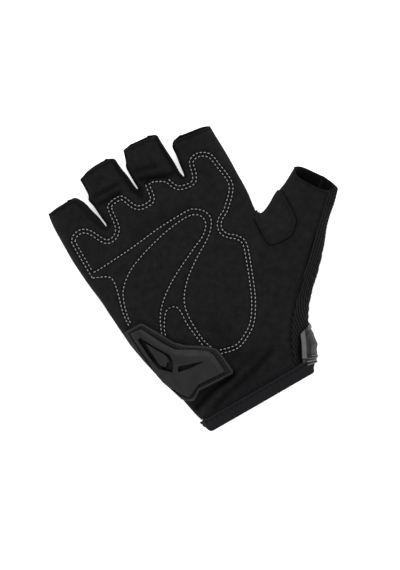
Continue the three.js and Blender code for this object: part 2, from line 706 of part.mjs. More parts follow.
const MATERIALS = {
  suede: new THREE.MeshStandardMaterial({ color: "#1c1c1e", roughness: 0.95, metalness: 0 }),
  knit: new THREE.MeshStandardMaterial({ color: "#17171a", roughness: 0.9, metalness: 0 }),
  hem: new THREE.MeshStandardMaterial({ color: "#1e1f23", roughness: 0.85, metalness: 0 }),
  webbing: new THREE.MeshStandardMaterial({ color: "#161618", roughness: 0.85, metalness: 0 }),
  rubber: new THREE.MeshStandardMaterial({ color: "#323234", roughness: 0.55, metalness: 0 }),
};

const PIECES = [
  ["palm_panel", handPanel(1), MATERIALS.suede],
  ["back_panel", handPanel(-1), MATERIALS.knit],
  ["fourchette_pinky_ring", fingerStrip(EDGES.pinkyRing), MATERIALS.knit],
  ["fourchette_ring_middle", fingerStrip(EDGES.ringMiddle), MATERIALS.knit],
  ["fourchette_middle_index", fingerStrip(EDGES.middleIndex), MATERIALS.knit],
  ["side_mesh_panel", sidePanel(), MATERIALS.knit],
  ["thumb_patch", thumbPatch(), MATERIALS.suede],
  ["cuff_hem", cuffHem(), MATERIALS.hem],
  ["wrist_strap", wristStrap(), MATERIALS.webbing],
  ["strap_tab", strapTab(), MATERIALS.rubber],
  ["strap_root", strapRoot(), MATERIALS.rubber],
];

// The outline tables are centred to the nearest millimetre, and this centres the box exactly
const glove = new THREE.Group();
glove.position.set(CENTRE_SHIFT.x, CENTRE_SHIFT.y, 0);
for (const [name, geometry, material] of PIECES) {
  const mesh = new THREE.Mesh(geometry, material);
  mesh.name = name;
  glove.add(mesh);
}

export default glove;
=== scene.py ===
import math
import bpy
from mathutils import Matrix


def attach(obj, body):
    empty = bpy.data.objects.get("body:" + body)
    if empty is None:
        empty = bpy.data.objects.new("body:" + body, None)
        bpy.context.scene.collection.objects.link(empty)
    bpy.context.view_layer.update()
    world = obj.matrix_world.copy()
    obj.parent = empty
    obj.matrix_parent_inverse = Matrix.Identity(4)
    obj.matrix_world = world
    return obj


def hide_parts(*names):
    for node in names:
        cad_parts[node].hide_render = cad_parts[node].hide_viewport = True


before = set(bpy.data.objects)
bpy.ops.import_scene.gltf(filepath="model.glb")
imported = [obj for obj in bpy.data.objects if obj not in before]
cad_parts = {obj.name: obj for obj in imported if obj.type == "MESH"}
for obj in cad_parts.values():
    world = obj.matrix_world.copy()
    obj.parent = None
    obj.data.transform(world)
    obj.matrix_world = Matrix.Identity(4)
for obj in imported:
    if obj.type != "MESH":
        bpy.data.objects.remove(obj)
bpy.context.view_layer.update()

from types import SimpleNamespace as Sizes

import bpy
import mathutils
import numpy as np

# Glove in millimetres: x to the thumb side, y to the fingertips, z up from the table
WALL = 1.5
SEAM_GAP = 0.4
SEAM_HEIGHT = 10
PALM_RISE = 13.5
BACK_DROP = 15
FILL_DISTANCE = 13.5
AT_EDGE = 0.002
MEETING = 0.00001
CENTRE_SHIFT = np.array([-0.1, -0.48])
METRES = 0.001

# Curl of the fingers and the thumb towards the palm
FINGER_LIFT = Sizes(start=20, length=60, height=3.5)
THUMB_LIFT = Sizes(start=28, length=56, height=6, lean=0.45, lean_top=25)

# The back lies flat on the table, and gives way where the strap crosses it
TABLE_BLEND = 3
STRAP_WALL = 1.6
STRAP_CLEAR = 0.6
STRAP_EDGE_BLEND = 7
STRAP_MARGIN = 3.5

# Seams between the finger strips and the panels, as distances from the glove's outline:
# at the web, then up the left finger of each gap to its tip, and up the right finger
GAP_SEAMS = {
    "pinky_ring": Sizes(web_row=5, web=1.8, middle=3.3, tip=0.7, right=0.6),
    "ring_middle": Sizes(web_row=5, web=2.4, middle=2.3, tip=2.3, right=0.6),
    "middle_index": Sizes(web_row=6, web=1.2, middle=2.1, tip=1.3, right=0.6),
}
BACK_SEAM = 3.2
# Painted light and shade of each finger strip: how much lighter or darker its colour is drawn
STRIP_SHADE = {"pinky_ring": 1.55, "ring_middle": 0.9, "middle_index": 1}
SIDE_PANEL_BACK_WIDTH = 9
LINE_STEPS = 6

# The edges of the strips and of the side panel are tucked under the panels beside them
TUCK = Sizes(reach=1.6, depth=1.52, turn=0.5)

# Outline seen from above, clockwise with the glove on its right: x, y of each turn
PINKY_EDGE = [
    (-58.3, -78.9), (-58.3, -74.9), (-60.2, -68.1), (-62.2, -57.4), (-63.6, -46.6), (-66.6, -35.5),
    (-71.6, -19.8), (-73.9, 2.9), (-74.4, 12.8), (-75.7, 24.4), (-76.8, 37.1), (-77.1, 46.4),
    (-76.6, 64.9), (-75.6, 72.9),
]
PINKY_RING_GAP = [
    (-56.4, 73), (-53.8, 68.3), (-52.3, 62.2), (-50.8, 56.4), (-50.1, 51.4), (-49.7, 50.2), (-49.3, 51.8),
    (-49.8, 56.3), (-50.3, 63.6), (-51.1, 68.1), (-49.6, 71.7), (-49.5, 81.3),
]
RING_MIDDLE_GAP = [
    (-25.8, 81.2), (-25.5, 75.4), (-24.5, 69.1), (-24, 62.8), (-23.7, 60.6), (-23.4, 59.8), (-23, 60.6),
    (-23.1, 66.1), (-22.9, 73.6), (-21.3, 76.8), (-19.2, 83.4),
]
MIDDLE_INDEX_GAP = [
    (2.2, 80.9), (2.2, 75.4), (2.5, 69), (2.8, 62.1), (2.7, 56.8), (3.1, 53.9), (3.6, 52.7), (4.2, 54.4),
    (4.8, 59.3), (5.8, 66.1), (6.2, 70.5), (8.1, 73.3),
]
THUMB_CROTCH_EDGE = [
    (31.5, 69.9), (31.6, 62.1), (31.9, 51), (31.6, 37.1), (31.3, 26.1), (30.1, 17.1), (30.1, 13.1),
    (32.2, 11.7), (37.7, 13.6), (44.6, 17.6), (52.1, 20.5), (60.8, 25.1),
]
THUMB_EDGE = [
    (77.3, 2.4), (72, -3.5), (63.6, -10.7), (50.8, -25.8), (44, -33), (35.4, -41.2), (29.9, -47.1),
    (25.4, -53.7), (22, -60.2), (19, -67.2), (14.9, -75), (13.6, -79),
]

# Seam between the palm panel and the side panel, from the thumb tip to the hem: x, y
SIDE_SEAM = [
    (73.4, 4.7), (65.5, -2.6), (56.8, -10.7), (46.4, -20), (33.6, -32.5), (21.5, -44.4), (13.3, -54.8),
    (7.5, -65.5), (4.4, -74.8),
]

# Rims of the openings, from the pinky to the thumb: how far they bow out on the palm and on the
# back, how flat the bow is, and how far its top is skewed away from the left corner
RIMS = [
    (-0.3, 1.15, 4, 1.35), (1.2, 2.9, 3, 1.3), (-0.2, 1.8, 4, 1.25), (-0.3, 2, 4, 1), (-4, 3.1, 3.2, 0.75),
]
RIM_REACH = 4
TIP_ROWS = 1.5

# Rows of the outline tables where the panels' grids turn
PINKY_BASE_ROW = 11
PALM_MIDDLE_ROW = 8
INDEX_BASE_ROW = 2
CROTCH_ROW = 6
HEM_ROW = 1
CUFF_TURN_ROWS = 2.5

# Where the thumb leaves the hand, as a share of the way from its tip to the hem
THUMB_BASE = Sizes(edge=0.32, seam=0.375)

# Main folds of the palm: a line between two points, how deep and how wide it is
FOLDS = [
    (-28, -60.5, -58, -68.5, 2.2, 3.2), (-9, -62.5, -50, -73, 1, 2.6), (-46, 63.6, -33, 63.4, 1, 2.2),
    (-19, 63.6, -2, 57.2, 1, 2.2),
]
# Sharper creases and the ridges beside them: depth, width, and the painted shade in the crease, below zero
# for painted light on a ridge
CREASES = [
    (1.4, 1.6, 0.85, [(-29, -61), (-37.7, -61.5), (-43.5, -62.2), (-49.3, -63.9), (-56.5, -66.8)]),
    (-0.7, 1.6, -0.35, [(-54.3, -70.6), (-49.3, -68.4), (-40.6, -65.7), (-31.9, -64.2), (-24.2, -62)]),
    (0.3, 2.6, 0.6, [(-30, -60.6), (-44, -61.8), (-57, -66)]),
    (0.3, 1.8, 0.3, [(-26, -60.2), (-17, -57.5)]),
    (0.8, 2, 0.5, [(-48, -72), (-37.7, -68.6), (-26.1, -66.4), (-14.5, -63.5), (-2.9, -59.7)]),
    (0.9, 1.5, 0.8, [(-46.6, 62.8), (-33.6, 62.6)]),
    (-0.5, 1.1, -0.25, [(-46, 65.4), (-33, 65.4)]),
    (0.6, 1.6, 0.65, [(-46.6, 67.9), (-32.4, 67.6)]),
    (0.9, 1.6, 0.8, [(-19.1, 63.4), (-14.5, 62.2), (-9.9, 60.2), (-5.8, 58.6), (-1.8, 57.2)]),
    (0.6, 1.7, 0.6, [(-19.1, 69), (-14.5, 67.9), (-8, 66.2)]),
    (0.3, 1.8, 0.85, [(-23.4, 58.6), (-23.5, 55.4)]),
    (0, 7, 0.2, [(-54, -64.5), (-20, -68)]),
    (0.3, 1.8, 0.15, [(-60, 61), (-71, 61.6)]),
    (0.4, 2, 0.2, [(10.5, 52.5), (17.5, 44.5)]),
    (0.5, 4, 0.2, [(-36, 37.5), (-4, 36.8)]),
    (0.2, 4.5, 0.3, [(-24, -30), (-22, -54), (-8, -58)]),
]

# Quilting of the palm: x, y along each row of stitches
OUTER_ROW = [
    (-67.3, -6.7), (-66.4, 1.7), (-62.8, 14.5), (-61.9, 21.1), (-63.8, 24.4), (-70.9, 27.8),
    (-71.7, 29.4), (-71.9, 49.6), (-70.8, 53.2), (-67.3, 55.4), (-62.6, 55.3), (-58.4, 51.8),
    (-53.9, 43.6), (-49.6, 42.8), (-46.4, 45.2), (-45.1, 48.7), (-44.1, 57), (-42, 60.3), (-33.3, 60.6),
    (-29.6, 53), (-26.6, 50.3), (-21.2, 50), (-19.2, 52), (-18, 59.7), (-13.9, 60.7), (-10.4, 59.4),
    (-7.4, 57.7), (-5.2, 55.7), (-2, 49.5), (5.2, 47.8), (7.8, 50.2), (10.4, 58.3), (16.5, 60.1),
    (22.9, 56.3), (24.8, 48.1), (25.6, 34.2), (15.8, 23.2), (10.7, 20.3), (8, 17.4), (7.4, 13.9),
    (9.3, 10.7), (12.8, 7.8), (15.5, 2.3), (12.8, -7.2), (4.6, -27.6), (-2.9, -39.7), (-9.9, -45.2),
    (-19.4, -48.7), (-31.9, -45.8),
]
KNUCKLE_ROW = [
    (-69.8, 30.9), (-65.5, 30.4), (-42.6, 31.8), (-23.8, 33.8), (-5.5, 34.3), (-1.2, 33.3), (3.5, 29.3),
    (4.6, 23.2), (-1.2, 15.7), (-15.1, 7), (-26.7, -2.3), (-33.8, -13.9), (-34.4, -31.9), (-31.9, -41.2),
]
HEEL_ROW = [
    (-65.5, -5.8), (-65.2, -1.7), (-62.8, 6.8), (-58.4, 14.5), (-47.3, 22.3), (-25.8, 29), (-7.8, 31.4),
    (-0.3, 28.8), (0.9, 22.9), (-4.4, 17.2), (-13.9, 12.9), (-33.8, 2.8), (-47.3, -8.7), (-54.2, -22.6),
]
SMALL_LOOP = [
    (-52.5, -24.4), (-49.9, -17.4), (-45.2, -10.6), (-41.8, -9.1), (-38.1, -10.4), (-37.1, -14.5),
    (-37.4, -23.5), (-35.4, -40),
]
DOUBLE_ROW_FROM = 6.1
DOUBLE_ROW_SPACING = 2.15
TIP_FOLD = 1.6
CUFF_TOP = -72
HIDDEN_IN_FOLD = (23.2, 27)
# Quilt channels and pads, with painted shade along the channels
QUILT = Sizes(channel=0.5, channel_width=0.95, pad=0.75, pad_width=3.2, dark=0.84)
# Groove near the palm's seams, with painted shade in it
SEAM_GROOVE = Sizes(at=1.3, width=0.5, depth=0.25, dark=0.35)
RIPPLE = Sizes(height=0.12, x=5.3, y=6.1, shift=0.4, bend=1.3, bend_y=9)
# Painted shade along lines of the palm, how dark and how wide: the patch's shadow beside it, the tab's
# shadow, the folds below the openings, and the rims, less at the cuff; and the painted shade of the other
# panels at their rims and how far in it fades
PALM_SHADES = Sizes(
    patch=(0.75, 0.9), tab=(0.3, 2.2), fold=(0.3, 0.5), cuff_and_rim=(0.1, 0.5), rim_width=0.6)
RIM_TONE = Sizes(plain=0.7, plain_reach=1.2, ribs=0.6, ribs_reach=1.5)

# Threads: distance from stitch to stitch, length, thickness, and how they arch and dip
THREAD = Sizes(pitch=2.3, length=1.75, radius=0.3, lift=0.18, sink=0.4)
HEM_THREAD = Sizes(pitch=3.3, length=1.5, radius=0.3, lift=0, sink=0.3)
PATCH_THREAD = Sizes(pitch=2.4, length=1.7, radius=0.26, lift=0.08, sink=0.35)
THREAD_GRID = Sizes(sections=7, sides=8, flatness=0.85, taper=0.9)
SIDE_STITCHES = Sizes(start=0.12, steps=60, inset=-1.1, height=0.1)
# Patch stitches: inset, sink, and the groove beside them, its width and its painted shade
PATCH_STITCHES = Sizes(inset=1.6, sink=0.15, groove=0.15, width=0.45, dark=0.3)

# Turned hem of the cuff: parts of it as shares of the way from the seam to the rim
HEM = Sizes(
    seam_y=-75.2, bow=3.9, pinky_corner=40, thumb_corner=50, proud=0.5, roll=0.45, ridge_at=0.065, ridge=0.3,
    line_at=0.15, line=0.35, stitches_at=0.25, groove=0.3, narrow=0.035, wide=0.055, tuck=0.14, depth=7.7,
    seam=0.3, inwards=5)
# Hem's painted light and shade: darker dots along its stitches, a lighter line near the seam, and slight
# puckers
HEM_SHADE = Sizes(
    dots_at=1.8, dots_width=0.5, line=0.35, line_at=0.4, line_width=0.5, dark=0.7,
    pucker=0.06, pucker_at=2, pucker_width=1.5)

# Ribs of the side panel: they turn from the thumb's direction to the wrist's, with painted light on their
# crests and painted shade in their hollows
RIB = Sizes(pitch=1.74, height=0.2, lean=0.2, stitch_pitch=1.7, knot=0.7, dark=0.8)
RIB_TURN = Sizes(thumb_slope=1, wrist_slope=0.02, from_y=-58, to_y=-22)
RIB_STEPS = np.linspace(-90, 30, 241)
RIB_TONES = (0.1, 2)
# Hollow of the side panel beside the anchor, with the anchor's shadow painted into it: x, y of its two ends,
# depth, width, and how dark that painted shadow is
ROOT_HOLLOW = [(15, -61.5, 9.4, -73.4, 0.4, 1.5, 0.93), (11.4, -67, 7.6, -74, 0.5, 2.4, 0.65)]

# Strap across the back: its middle line, half width and the corners of its thumb end
STRAP = Sizes(
    pinky_end=(-66, -43.5), thumb_end=(22, -66), half_width=7.6, root_end=(13, -63.6), root_lean=(2.2, 6),
    edge_rows=(3.5, 4.75), fold_inset=0.8)
# Columns of the strap from under the tab round the edge: side, inset, low, high
STRAP_TURN = [
    (1, 6, 0, 0.6), (1, 4, 0, 0.7), (1, 2.4, 0, 0.8), (1, 1.2, 0.1, 0.9), (1, 0.5, 0.1, 1),
    (1, 0.15, 0.1, 1.1), (0, 0.002, 0.1, 1.2), (-1, 0.15, 0.3, 1.6), (-1, 0.45, 0.5, 2),
]

# Closure tab on the palm: x, y of its outline, its raised middle and the level top of that
TAB_OUTLINE = [
    (-72.5, -8.4), (-60.9, -8.4), (-59.4, -9.3), (-53.9, -18.6), (-49.3, -27.3), (-44.7, -31.9),
    (-33.1, -39.4), (-29.9, -42.9), (-28.9, -47), (-27.9, -58.6), (-28.9, -60), (-37.7, -59.7),
    (-50.5, -58.9), (-53.9, -61.3), (-55.6, -62.3), (-58.4, -61.5), (-60.6, -59.9), (-62, -58),
    (-62.9, -55.1), (-64.5, -49.9), (-66.5, -44.1), (-67.8, -37.1), (-69.8, -28.4), (-71.9, -16.8),
]
TAB_MIDDLE = [
    (-69, -10.4), (-61.5, -11.3), (-55.1, -24.4), (-50.5, -31.3), (-43.5, -35.4), (-34.2, -41.8),
    (-33.1, -44.7), (-31.9, -56.8), (-49.3, -55.7), (-55.1, -58.6), (-58, -59.2), (-61, -55.6),
    (-63.2, -51), (-64.3, -49), (-66.2, -43.2), (-67.4, -36.3), (-68.5, -22),
]
TAB_LEFT_FROM = 10
TAB_TOP = [
    (-68.6, -11.3), (-63.2, -12.2), (-61.5, -16.8), (-58.6, -23.2), (-55.4, -29), (-52.8, -33.1),
    (-48.1, -37.1), (-42.3, -40.6), (-37.7, -42.9), (-35.7, -45.2), (-35.1, -56.1), (-49.3, -55.3),
    (-55, -58.1), (-57.8, -58.8), (-60.7, -55.4), (-62.9, -50.9), (-64, -48.9), (-65.9, -43.1),
    (-67.1, -36.2), (-68.2, -22),
]
# What is cut into its middle: a window with an island in it, and a slot
TAB_WINDOW = [
    (-66.6, -15.7), (-64.4, -15.7), (-63.8, -17.4), (-62.8, -19.1), (-60.3, -23.8), (-56.8, -29.6),
    (-55.1, -32.5), (-55.1, -36), (-55.7, -37.9), (-57.1, -40.2), (-58.8, -42.2), (-60.7, -40.2),
    (-62.6, -38.4), (-64.6, -36.5), (-65.5, -31.9), (-66.1, -25.5), (-66.5, -18.6),
]
TAB_ISLAND = [
    (-63.9, -17.9), (-62.9, -20.6), (-60.4, -25.3), (-57.6, -30), (-56.7, -32.4), (-56.6, -36.5),
    (-58.3, -35.8), (-60.3, -37.8), (-62.9, -35.7), (-63.4, -33.6), (-63.8, -25),
]
TAB_SLOT = [(-56, -43.6), (-54, -40.7), (-39, -45.6), (-49.3, -45)]
# Their height over the palm and their tone: painted shade on the floors of the window and the slot, and a
# little painted light on the island
TAB_CUTS = [(TAB_WINDOW, 0.7, 0.2), (TAB_ISLAND, 3, 1.08), (TAB_SLOT, 0.4, 0.06)]
# Heights over the palm and widths of the tab's other parts, and the fineness of its mesh
TAB = Sizes(
    foot_depth=3.2, lift=1, skirt=1.1, flange=1.5, edge_round=0.45, groove_at=1.4, groove=0.75,
    left_groove=0.55, cord_at=2.45, cord=0.4, cord_width=0.4, cord_pitch=2.2, bead=0.35, bead_x=0.6,
    bead_y=0.8, shoulder=2.5, middle=3.3, wall=0.28, left_within=0.05, cell=0.27, least_gap=0.17, merge=0.1)
# Painted light and shade of the tab: a lighter flange, painted shade in the groove and less of it on the
# cord, and a painted highlight on the bevel
TAB_TONE = Sizes(flange=1.2, groove=0.38, cord=0.7, bevel=1.25)
MOULD_CREASE = 35

# Moulded anchor of the strap: row of the thumb edge and how far it stands out past the edge
ROOT_RISE = [
    (7.47, 0.6), (7.6, 1.4), (7.9, 1.7), (8.1, 1.5), (8.35, 2.3), (8.7, 2.7), (9, 3.4), (9.2, 4.1),
    (9.3, 3.8), (9.5, 3.4), (9.9, 4.2), (10, 3.9), (10.25, 3), (10.6, 3.6), (10.8, 2.4),
]
ROOT_LINES = [7.95, 9.74, 9.92, 10.14, 10.49]
ROOT = Sizes(
    skew=0.12, skew_from=-1.4, skew_until=2.4, strip_end=10.03, strip=(5.25, 3), step=2.2, step_level=2.6,
    face=1.3, face_level=1.5, lip=0.3, join=0.1, strip_fade=0.05, crest_fade=0.08, band_fade=0.03,
    first_edge=7.98, skew_to=7.6, ridges_from=9.68, crest=9.1, crest_rise=0.6, crest_width=0.8,
    line_width=0.42, line_depth=0.8, row_ease=0.85, under_to=4.2, clear=0.1, skewed=6)
# Heights of its section over the palm, beside the strip and on it
ROOT_LEVELS = [(-0.4, -0.4), (0.8, 1.3), (1, 2.3), (1.1, 1.9), (2.2, 2.2)]
# Its section past the edge: share of the rise, inset, share of a line's groove, height, crest
ROOT_OUTSIDE = [
    (-0.5, 0, 0, 13.6, 1), (-1, 0, 0.4, 11.2, 0), (-1, 0.4, 0.4, 8.6, 0), (-0.4, 0, 0, 5.4, 0),
    (0, 1.2, 0, 3.6, 0), (0, 4.2, 0, 1.3, 0),
]
# Its painted light and shade: the lit strip painted lighter, painted shade on the step beside it, the two
# faces painted as lit differently, the bands at both ends painted lighter, and painted shade in the grooves
# of its lines
ROOT_TONE = Sizes(strip=2, step=0.14, upper=0.46, lower=0.82, band=2, line=0.08)
ROOT_SEGMENTS = [1, 8, 2, 5, 10, 6, 4, 4, 4, 4]
ROOT_GRID_ROWS = 120

# Reinforcement patch in the thumb crotch: its lower outline, from the index side
PATCH_OUTLINE = [
    (26.2, 10.2), (26, 0), (26.2, -4.6), (27.6, -6.9), (32, -7.8), (37.7, -8.1), (41, -7.2), (44.6, -4.4),
    (46.9, -0.8), (47.6, 5), (47.8, 11), (47.9, 17.3),
]
PATCH = Sizes(first_row=5.4, last_row=9.3, inset=0.4, low=0.1, high=1)

# Fineness of the meshes
CHUNK = 2000
RIM_ROUNDING = 0.9
# Painted shade on the inner side of the walls: its deepest value, how much it lifts near the rims, and its
# reach
PAINTED_INNER_SHADE = Sizes(deep=0.25, rim=0.4, reach=2)
PALM_DETAIL = Sizes(
    finger_columns=36, finger_rows=42, upper_rows=62, thumb_columns=46, thumb_rows=50, lower_rows=132)
BACK_DETAIL = Sizes(
    finger_columns=20, finger_rows=24, upper_rows=30, thumb_columns=24, thumb_rows=28, lower_rows=64)
LOWER_EASE = 0.3
STRIP_GRID = Sizes(rows=40, columns=14, power=1.6)
SIDE_ROWS = Sizes(thumb=80, hand=230)
SIDE_COLUMNS = Sizes(palm=76, back=44, power=1.3)
HEM_GRID = Sizes(rows=50, columns=150, row_ease=0.3, column_ease=0.7)
STRAP_GRID = Sizes(rows=20, columns=70, power=1.2)
PATCH_GRID = Sizes(rows=40, columns=46, power=1.6)

# Camera: straight above, with the fingers turned to the upper left
PHOTO_CENTRE = (-0.0199, -0.00688, 0.01)
PHOTO_HEIGHT = 0.33
PHOTO_TURN = math.radians(-30)
LENS, SENSOR = 200, 36
FAR_CLIP = 20

# Pale floor, soft sky and one soft lamp: its place, size and power
FLOOR = -0.0003
FLOOR_HALF = 3
FLOOR_GLOW = 0.5
FLOOR_SHADES = (0.93, 0.95)
SKY = 1
LAMP = Sizes(place=(0.2, 0.85, 1.25), size=0.8, power=12)
WAVE_SCALE = math.pi / 10


def unit(vectors):
    return vectors / np.maximum(np.linalg.norm(vectors, axis=-1, keepdims=True), 1e-12)


def smooth(value):
    value = np.clip(value, 0, 1)
    return value * value * (3 - 2 * value)


def between(start, end, share):
    return start + (end - start) * share


def bell(distance, width):
    return np.exp(-((distance / width) ** 2))


def shaded(distance, dark, width):
    """Painted shade that is darkest along a line."""
    return 1 - dark * bell(distance, width)


def shares(count):
    return np.linspace(0, 1, count + 1)


def eased(count, ease=0.5):
    """Shares that lie closer together at both ends."""
    even = shares(count)
    return (1 - ease) * even + ease * (1 - np.cos(np.pi * even)) / 2


def spline(table):
    """A smooth line through the rows of a table."""
    rows = np.asarray(table, float)
    start, end = rows[:-1], rows[1:]
    leaving = (end - np.vstack([rows[:1], rows[:-2]])) / 2
    arriving = (np.vstack([rows[2:], rows[-1:]]) - start) / 2
    cubic = (2 * start - 2 * end + leaving + arriving)[:, None]
    square = (-3 * start + 3 * end - 2 * leaving - arriving)[:, None]
    t = (np.arange(LINE_STEPS) / LINE_STEPS)[None, :, None]
    line = ((cubic * t + square) * t + leaving[:, None]) * t + start[:, None]
    return np.vstack([line.reshape(-1, 2), rows[-1:]])


def rightwards(tangent):
    return unit(np.c_[tangent[:, 1], -tangent[:, 0]])


def to_the_right(line):
    return rightwards(np.vstack([line[1:], line[-1:]]) - np.vstack([line[:1], line[:-1]]))


def lengths_along(line):
    return np.hstack([[0], np.cumsum(np.linalg.norm(np.diff(line, axis=0), axis=1))])


def resampled(line, distances):
    along = lengths_along(line)
    return np.stack([np.interp(distances, along, line[:, axis]) for axis in (0, 1)], -1)


def looped(corners):
    return np.vstack([corners, corners[:1]])


def closed(corners):
    """A closed outline as evenly spaced places."""
    line = looped(corners)
    total = lengths_along(line)[-1]
    count = int(total / TAB.cell)
    return resampled(line, np.arange(count) * total / count)


def drawn_in(ring, inset):
    x, y = ring.T
    turn = np.sign((x * np.roll(y, -1) - np.roll(x, -1) * y).sum())
    return ring - rightwards(np.roll(ring, -1, 0) - np.roll(ring, 1, 0)) * inset * turn


class Edge:
    """One stretch of the glove's outline, with the glove on its right."""

    def __init__(self, table, seams=None):
        self.line = spline(table)
        self.last = len(table) - 1
        self.seams = seams
        self.inwards = to_the_right(self.line)
        self.starts_into = self.ends_into = None

    def at(self, row, inset=AT_EDGE):
        """Places at rows of the table, moved inwards."""
        row = np.asarray(row, float)
        position = np.clip(row / self.last, 0, 1) * (len(self.line) - 1)
        step = np.minimum(position.astype(int), len(self.line) - 2)
        share = (position - step)[..., None]
        inwards = unit(self.inwards[step] * (1 - share) + self.inwards[step + 1] * share)
        for toward, away in ((self.starts_into, row), (self.ends_into, self.last - row)):
            if toward is not None:
                inwards = unit(between(inwards, toward, smooth(1 - away / TIP_ROWS)[..., None]))
        place = self.line[step] * (1 - share) + self.line[step + 1] * share
        return place + inwards * np.broadcast_to(inset, row.shape)[..., None]


class Stub:
    """Opening of a finger or the thumb, between the ends of two outlines."""

    def __init__(self, left, right, palm, back, flatness, skew):
        self.left, self.right = left, right
        self.palm, self.back, self.flatness, self.skew = palm, back, flatness, skew
        self.corner = left.line[-1]
        span = right.line[0] - self.corner
        self.width = np.linalg.norm(span)
        self.across = span / self.width
        self.out = np.array([-self.across[1], self.across[0]])
        left.ends_into, left.end_stub = self.across, self
        right.starts_into, right.start_stub = -self.across, self

    def bow(self, places):
        """How far across the opening places are, and the form of its bow there."""
        share = (places - self.corner) @ self.across / self.width
        return share, 1 - np.abs(2 * np.clip(share, 0, 1) ** self.skew - 1) ** self.flatness

    def bowed(self, places, side, up):
        """Places near the opening, moved out with its rim: up is 1 at the rim itself."""
        reach = np.where(side > 0, self.palm, self.back) * np.where(side == 0, 0, 1)
        out = reach * self.bow(places)[1] * np.clip(up, 0, 1) ** RIM_REACH
        return places + out[..., None] * self.out


PINKY, CROTCH, THUMB = Edge(PINKY_EDGE), Edge(THUMB_CROTCH_EDGE), Edge(THUMB_EDGE)
GAP_TABLES = (PINKY_RING_GAP, RING_MIDDLE_GAP, MIDDLE_INDEX_GAP)
GAPS = {name: Edge(table, GAP_SEAMS[name]) for name, table in zip(GAP_SEAMS, GAP_TABLES)}
AROUND = [PINKY, *GAPS.values(), CROTCH, THUMB]
STUBS = [Stub(left, right, *rim) for rim, left, right in zip(RIMS, AROUND, AROUND[1:])]
SEAM_CURVE = Edge(SIDE_SEAM)


def nearest(points, line):
    """How far each point is from a line, and the way to it from the line."""
    start, step = line[:-1], np.diff(line, axis=0)
    length_squared = np.maximum((step**2).sum(1), 1e-12)
    distance, away = np.empty(len(points)), np.empty((len(points), 2))
    for first in range(0, len(points), CHUNK):
        part = slice(first, first + CHUNK)
        gap = points[part, None] - start
        share = np.clip((gap * step).sum(2) / length_squared, 0, 1)
        gap = gap - share[..., None] * step
        squared = (gap**2).sum(2)
        best = squared.argmin(1)
        here = np.arange(len(best))
        away[part] = gap[here, best]
        distance[part] = np.sqrt(squared[here, best])
    return distance, away


def from_line(points, *corners):
    return nearest(points, np.array(corners, float))[0]


def inside(points, polygon):
    x, y = points.T
    found = np.zeros(len(points), bool)
    for (ax, ay), (bx, by) in zip(polygon, np.roll(polygon, -1, axis=0)):
        slope = (bx - ax) / (by - ay) if ay != by else 0
        found ^= ((ay > y) != (by > y)) & (x < ax + slope * (y - ay))
    return found


def inside_distance(points, corners):
    """Distance from a closed outline, positive inside it."""
    distance = nearest(points, looped(corners))[0]
    return np.where(inside(points, corners), distance, -distance)


def depth_inside(points):
    """How deep inside the outline each place is, and the way deeper."""
    total, gradient = np.zeros(len(points)), np.zeros((len(points), 2))
    for edge in AROUND:
        distance, away = nearest(points, edge.line)
        distance = np.maximum(distance, AT_EDGE / 2)
        total += distance**-2
        gradient += away / distance[:, None] ** 4
    depth = total**-0.5
    return depth, gradient * depth[:, None] ** 3


def seam_height(points):
    x, y = points.T
    finger = np.clip((y - FINGER_LIFT.start) / FINGER_LIFT.length, 0, 1)
    lean = THUMB_LIFT.lean * np.minimum(y, THUMB_LIFT.lean_top)
    thumb = np.clip((x - THUMB_LIFT.start + lean) / THUMB_LIFT.length, 0, 1)
    return SEAM_HEIGHT + FINGER_LIFT.height * finger**2 + THUMB_LIFT.height * thumb**2


def fold_depth(points):
    return sum(depth * bell(from_line(points, (x1, y1), (x2, y2)), width)
               for x1, y1, x2, y2, depth, width in FOLDS)


def rest_height(points):
    """Lowest height of the back: the table, or at the wrist the strap that it lies on."""
    start = np.array(STRAP.pinky_end)
    along = unit(STRAP.thumb_end - start)
    x, y = (points - start).T
    away = (along[0] * y - along[1] * x - STRAP.half_width - STRAP_MARGIN) / STRAP_EDGE_BLEND
    return (STRAP_WALL + STRAP_CLEAR) * (1 - smooth(away))


def surface(points, side, least_depth=0):
    """Outer surface of the glove: side is 1 on the palm, -1 on the back, 0 at the edge."""
    depth, gradient = depth_inside(points)
    depth = np.maximum(depth, least_depth)
    fill = np.where(side == 0, 0, np.sqrt(1 - np.exp(-depth / FILL_DISTANCE)))
    rise = np.where(side > 0, PALM_RISE, BACK_DROP)
    height = seam_height(points) + side * rise * fill
    height -= np.where(side > 0, fold_depth(points) * fill, 0)
    floor = rest_height(points)
    free = np.clip(0.5 + 0.5 * (height - floor) / TABLE_BLEND, 0, 1)
    laid = free * height + (1 - free) * floor + TABLE_BLEND * free * (1 - free)
    height = np.where(side < 0, laid, height)
    steep = rise * (1 - fill**2) * np.where(side < 0, free, 1)
    normal = np.c_[-gradient * steep[:, None], side * 2 * FILL_DISTANCE * fill]
    return np.c_[points, height], unit(normal)


def put(name, data):
    thing = bpy.data.objects.new(name, data)
    bpy.context.scene.collection.objects.link(thing)
    return thing


def mesh_object(name, points, faces, tone, material, slot, node=None, sharp=None):
    """A new piece from points in glove millimetres."""
    world = np.asarray(points, float).copy()
    world[:, :2] += CENTRE_SHIFT
    mesh = bpy.data.meshes.new(name)
    mesh.from_pydata((world * METRES).tolist(), [], [list(face) for face in faces])
    mesh.validate()
    mesh.shade_smooth()
    if sharp:
        mesh.set_sharp_from_angle(angle=math.radians(sharp))
    # Tone per point: painted light and shade, multiplied into the material's colour
    values = np.broadcast_to(tone, len(points)).astype(np.float32)
    mesh.attributes.new("tone", "FLOAT", "POINT").data.foreach_set("value", values)
    mesh.materials.append(MATERIALS[material])
    piece = put(name, mesh)
    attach(piece, "root")
    if node:
        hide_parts(node)
    return piece


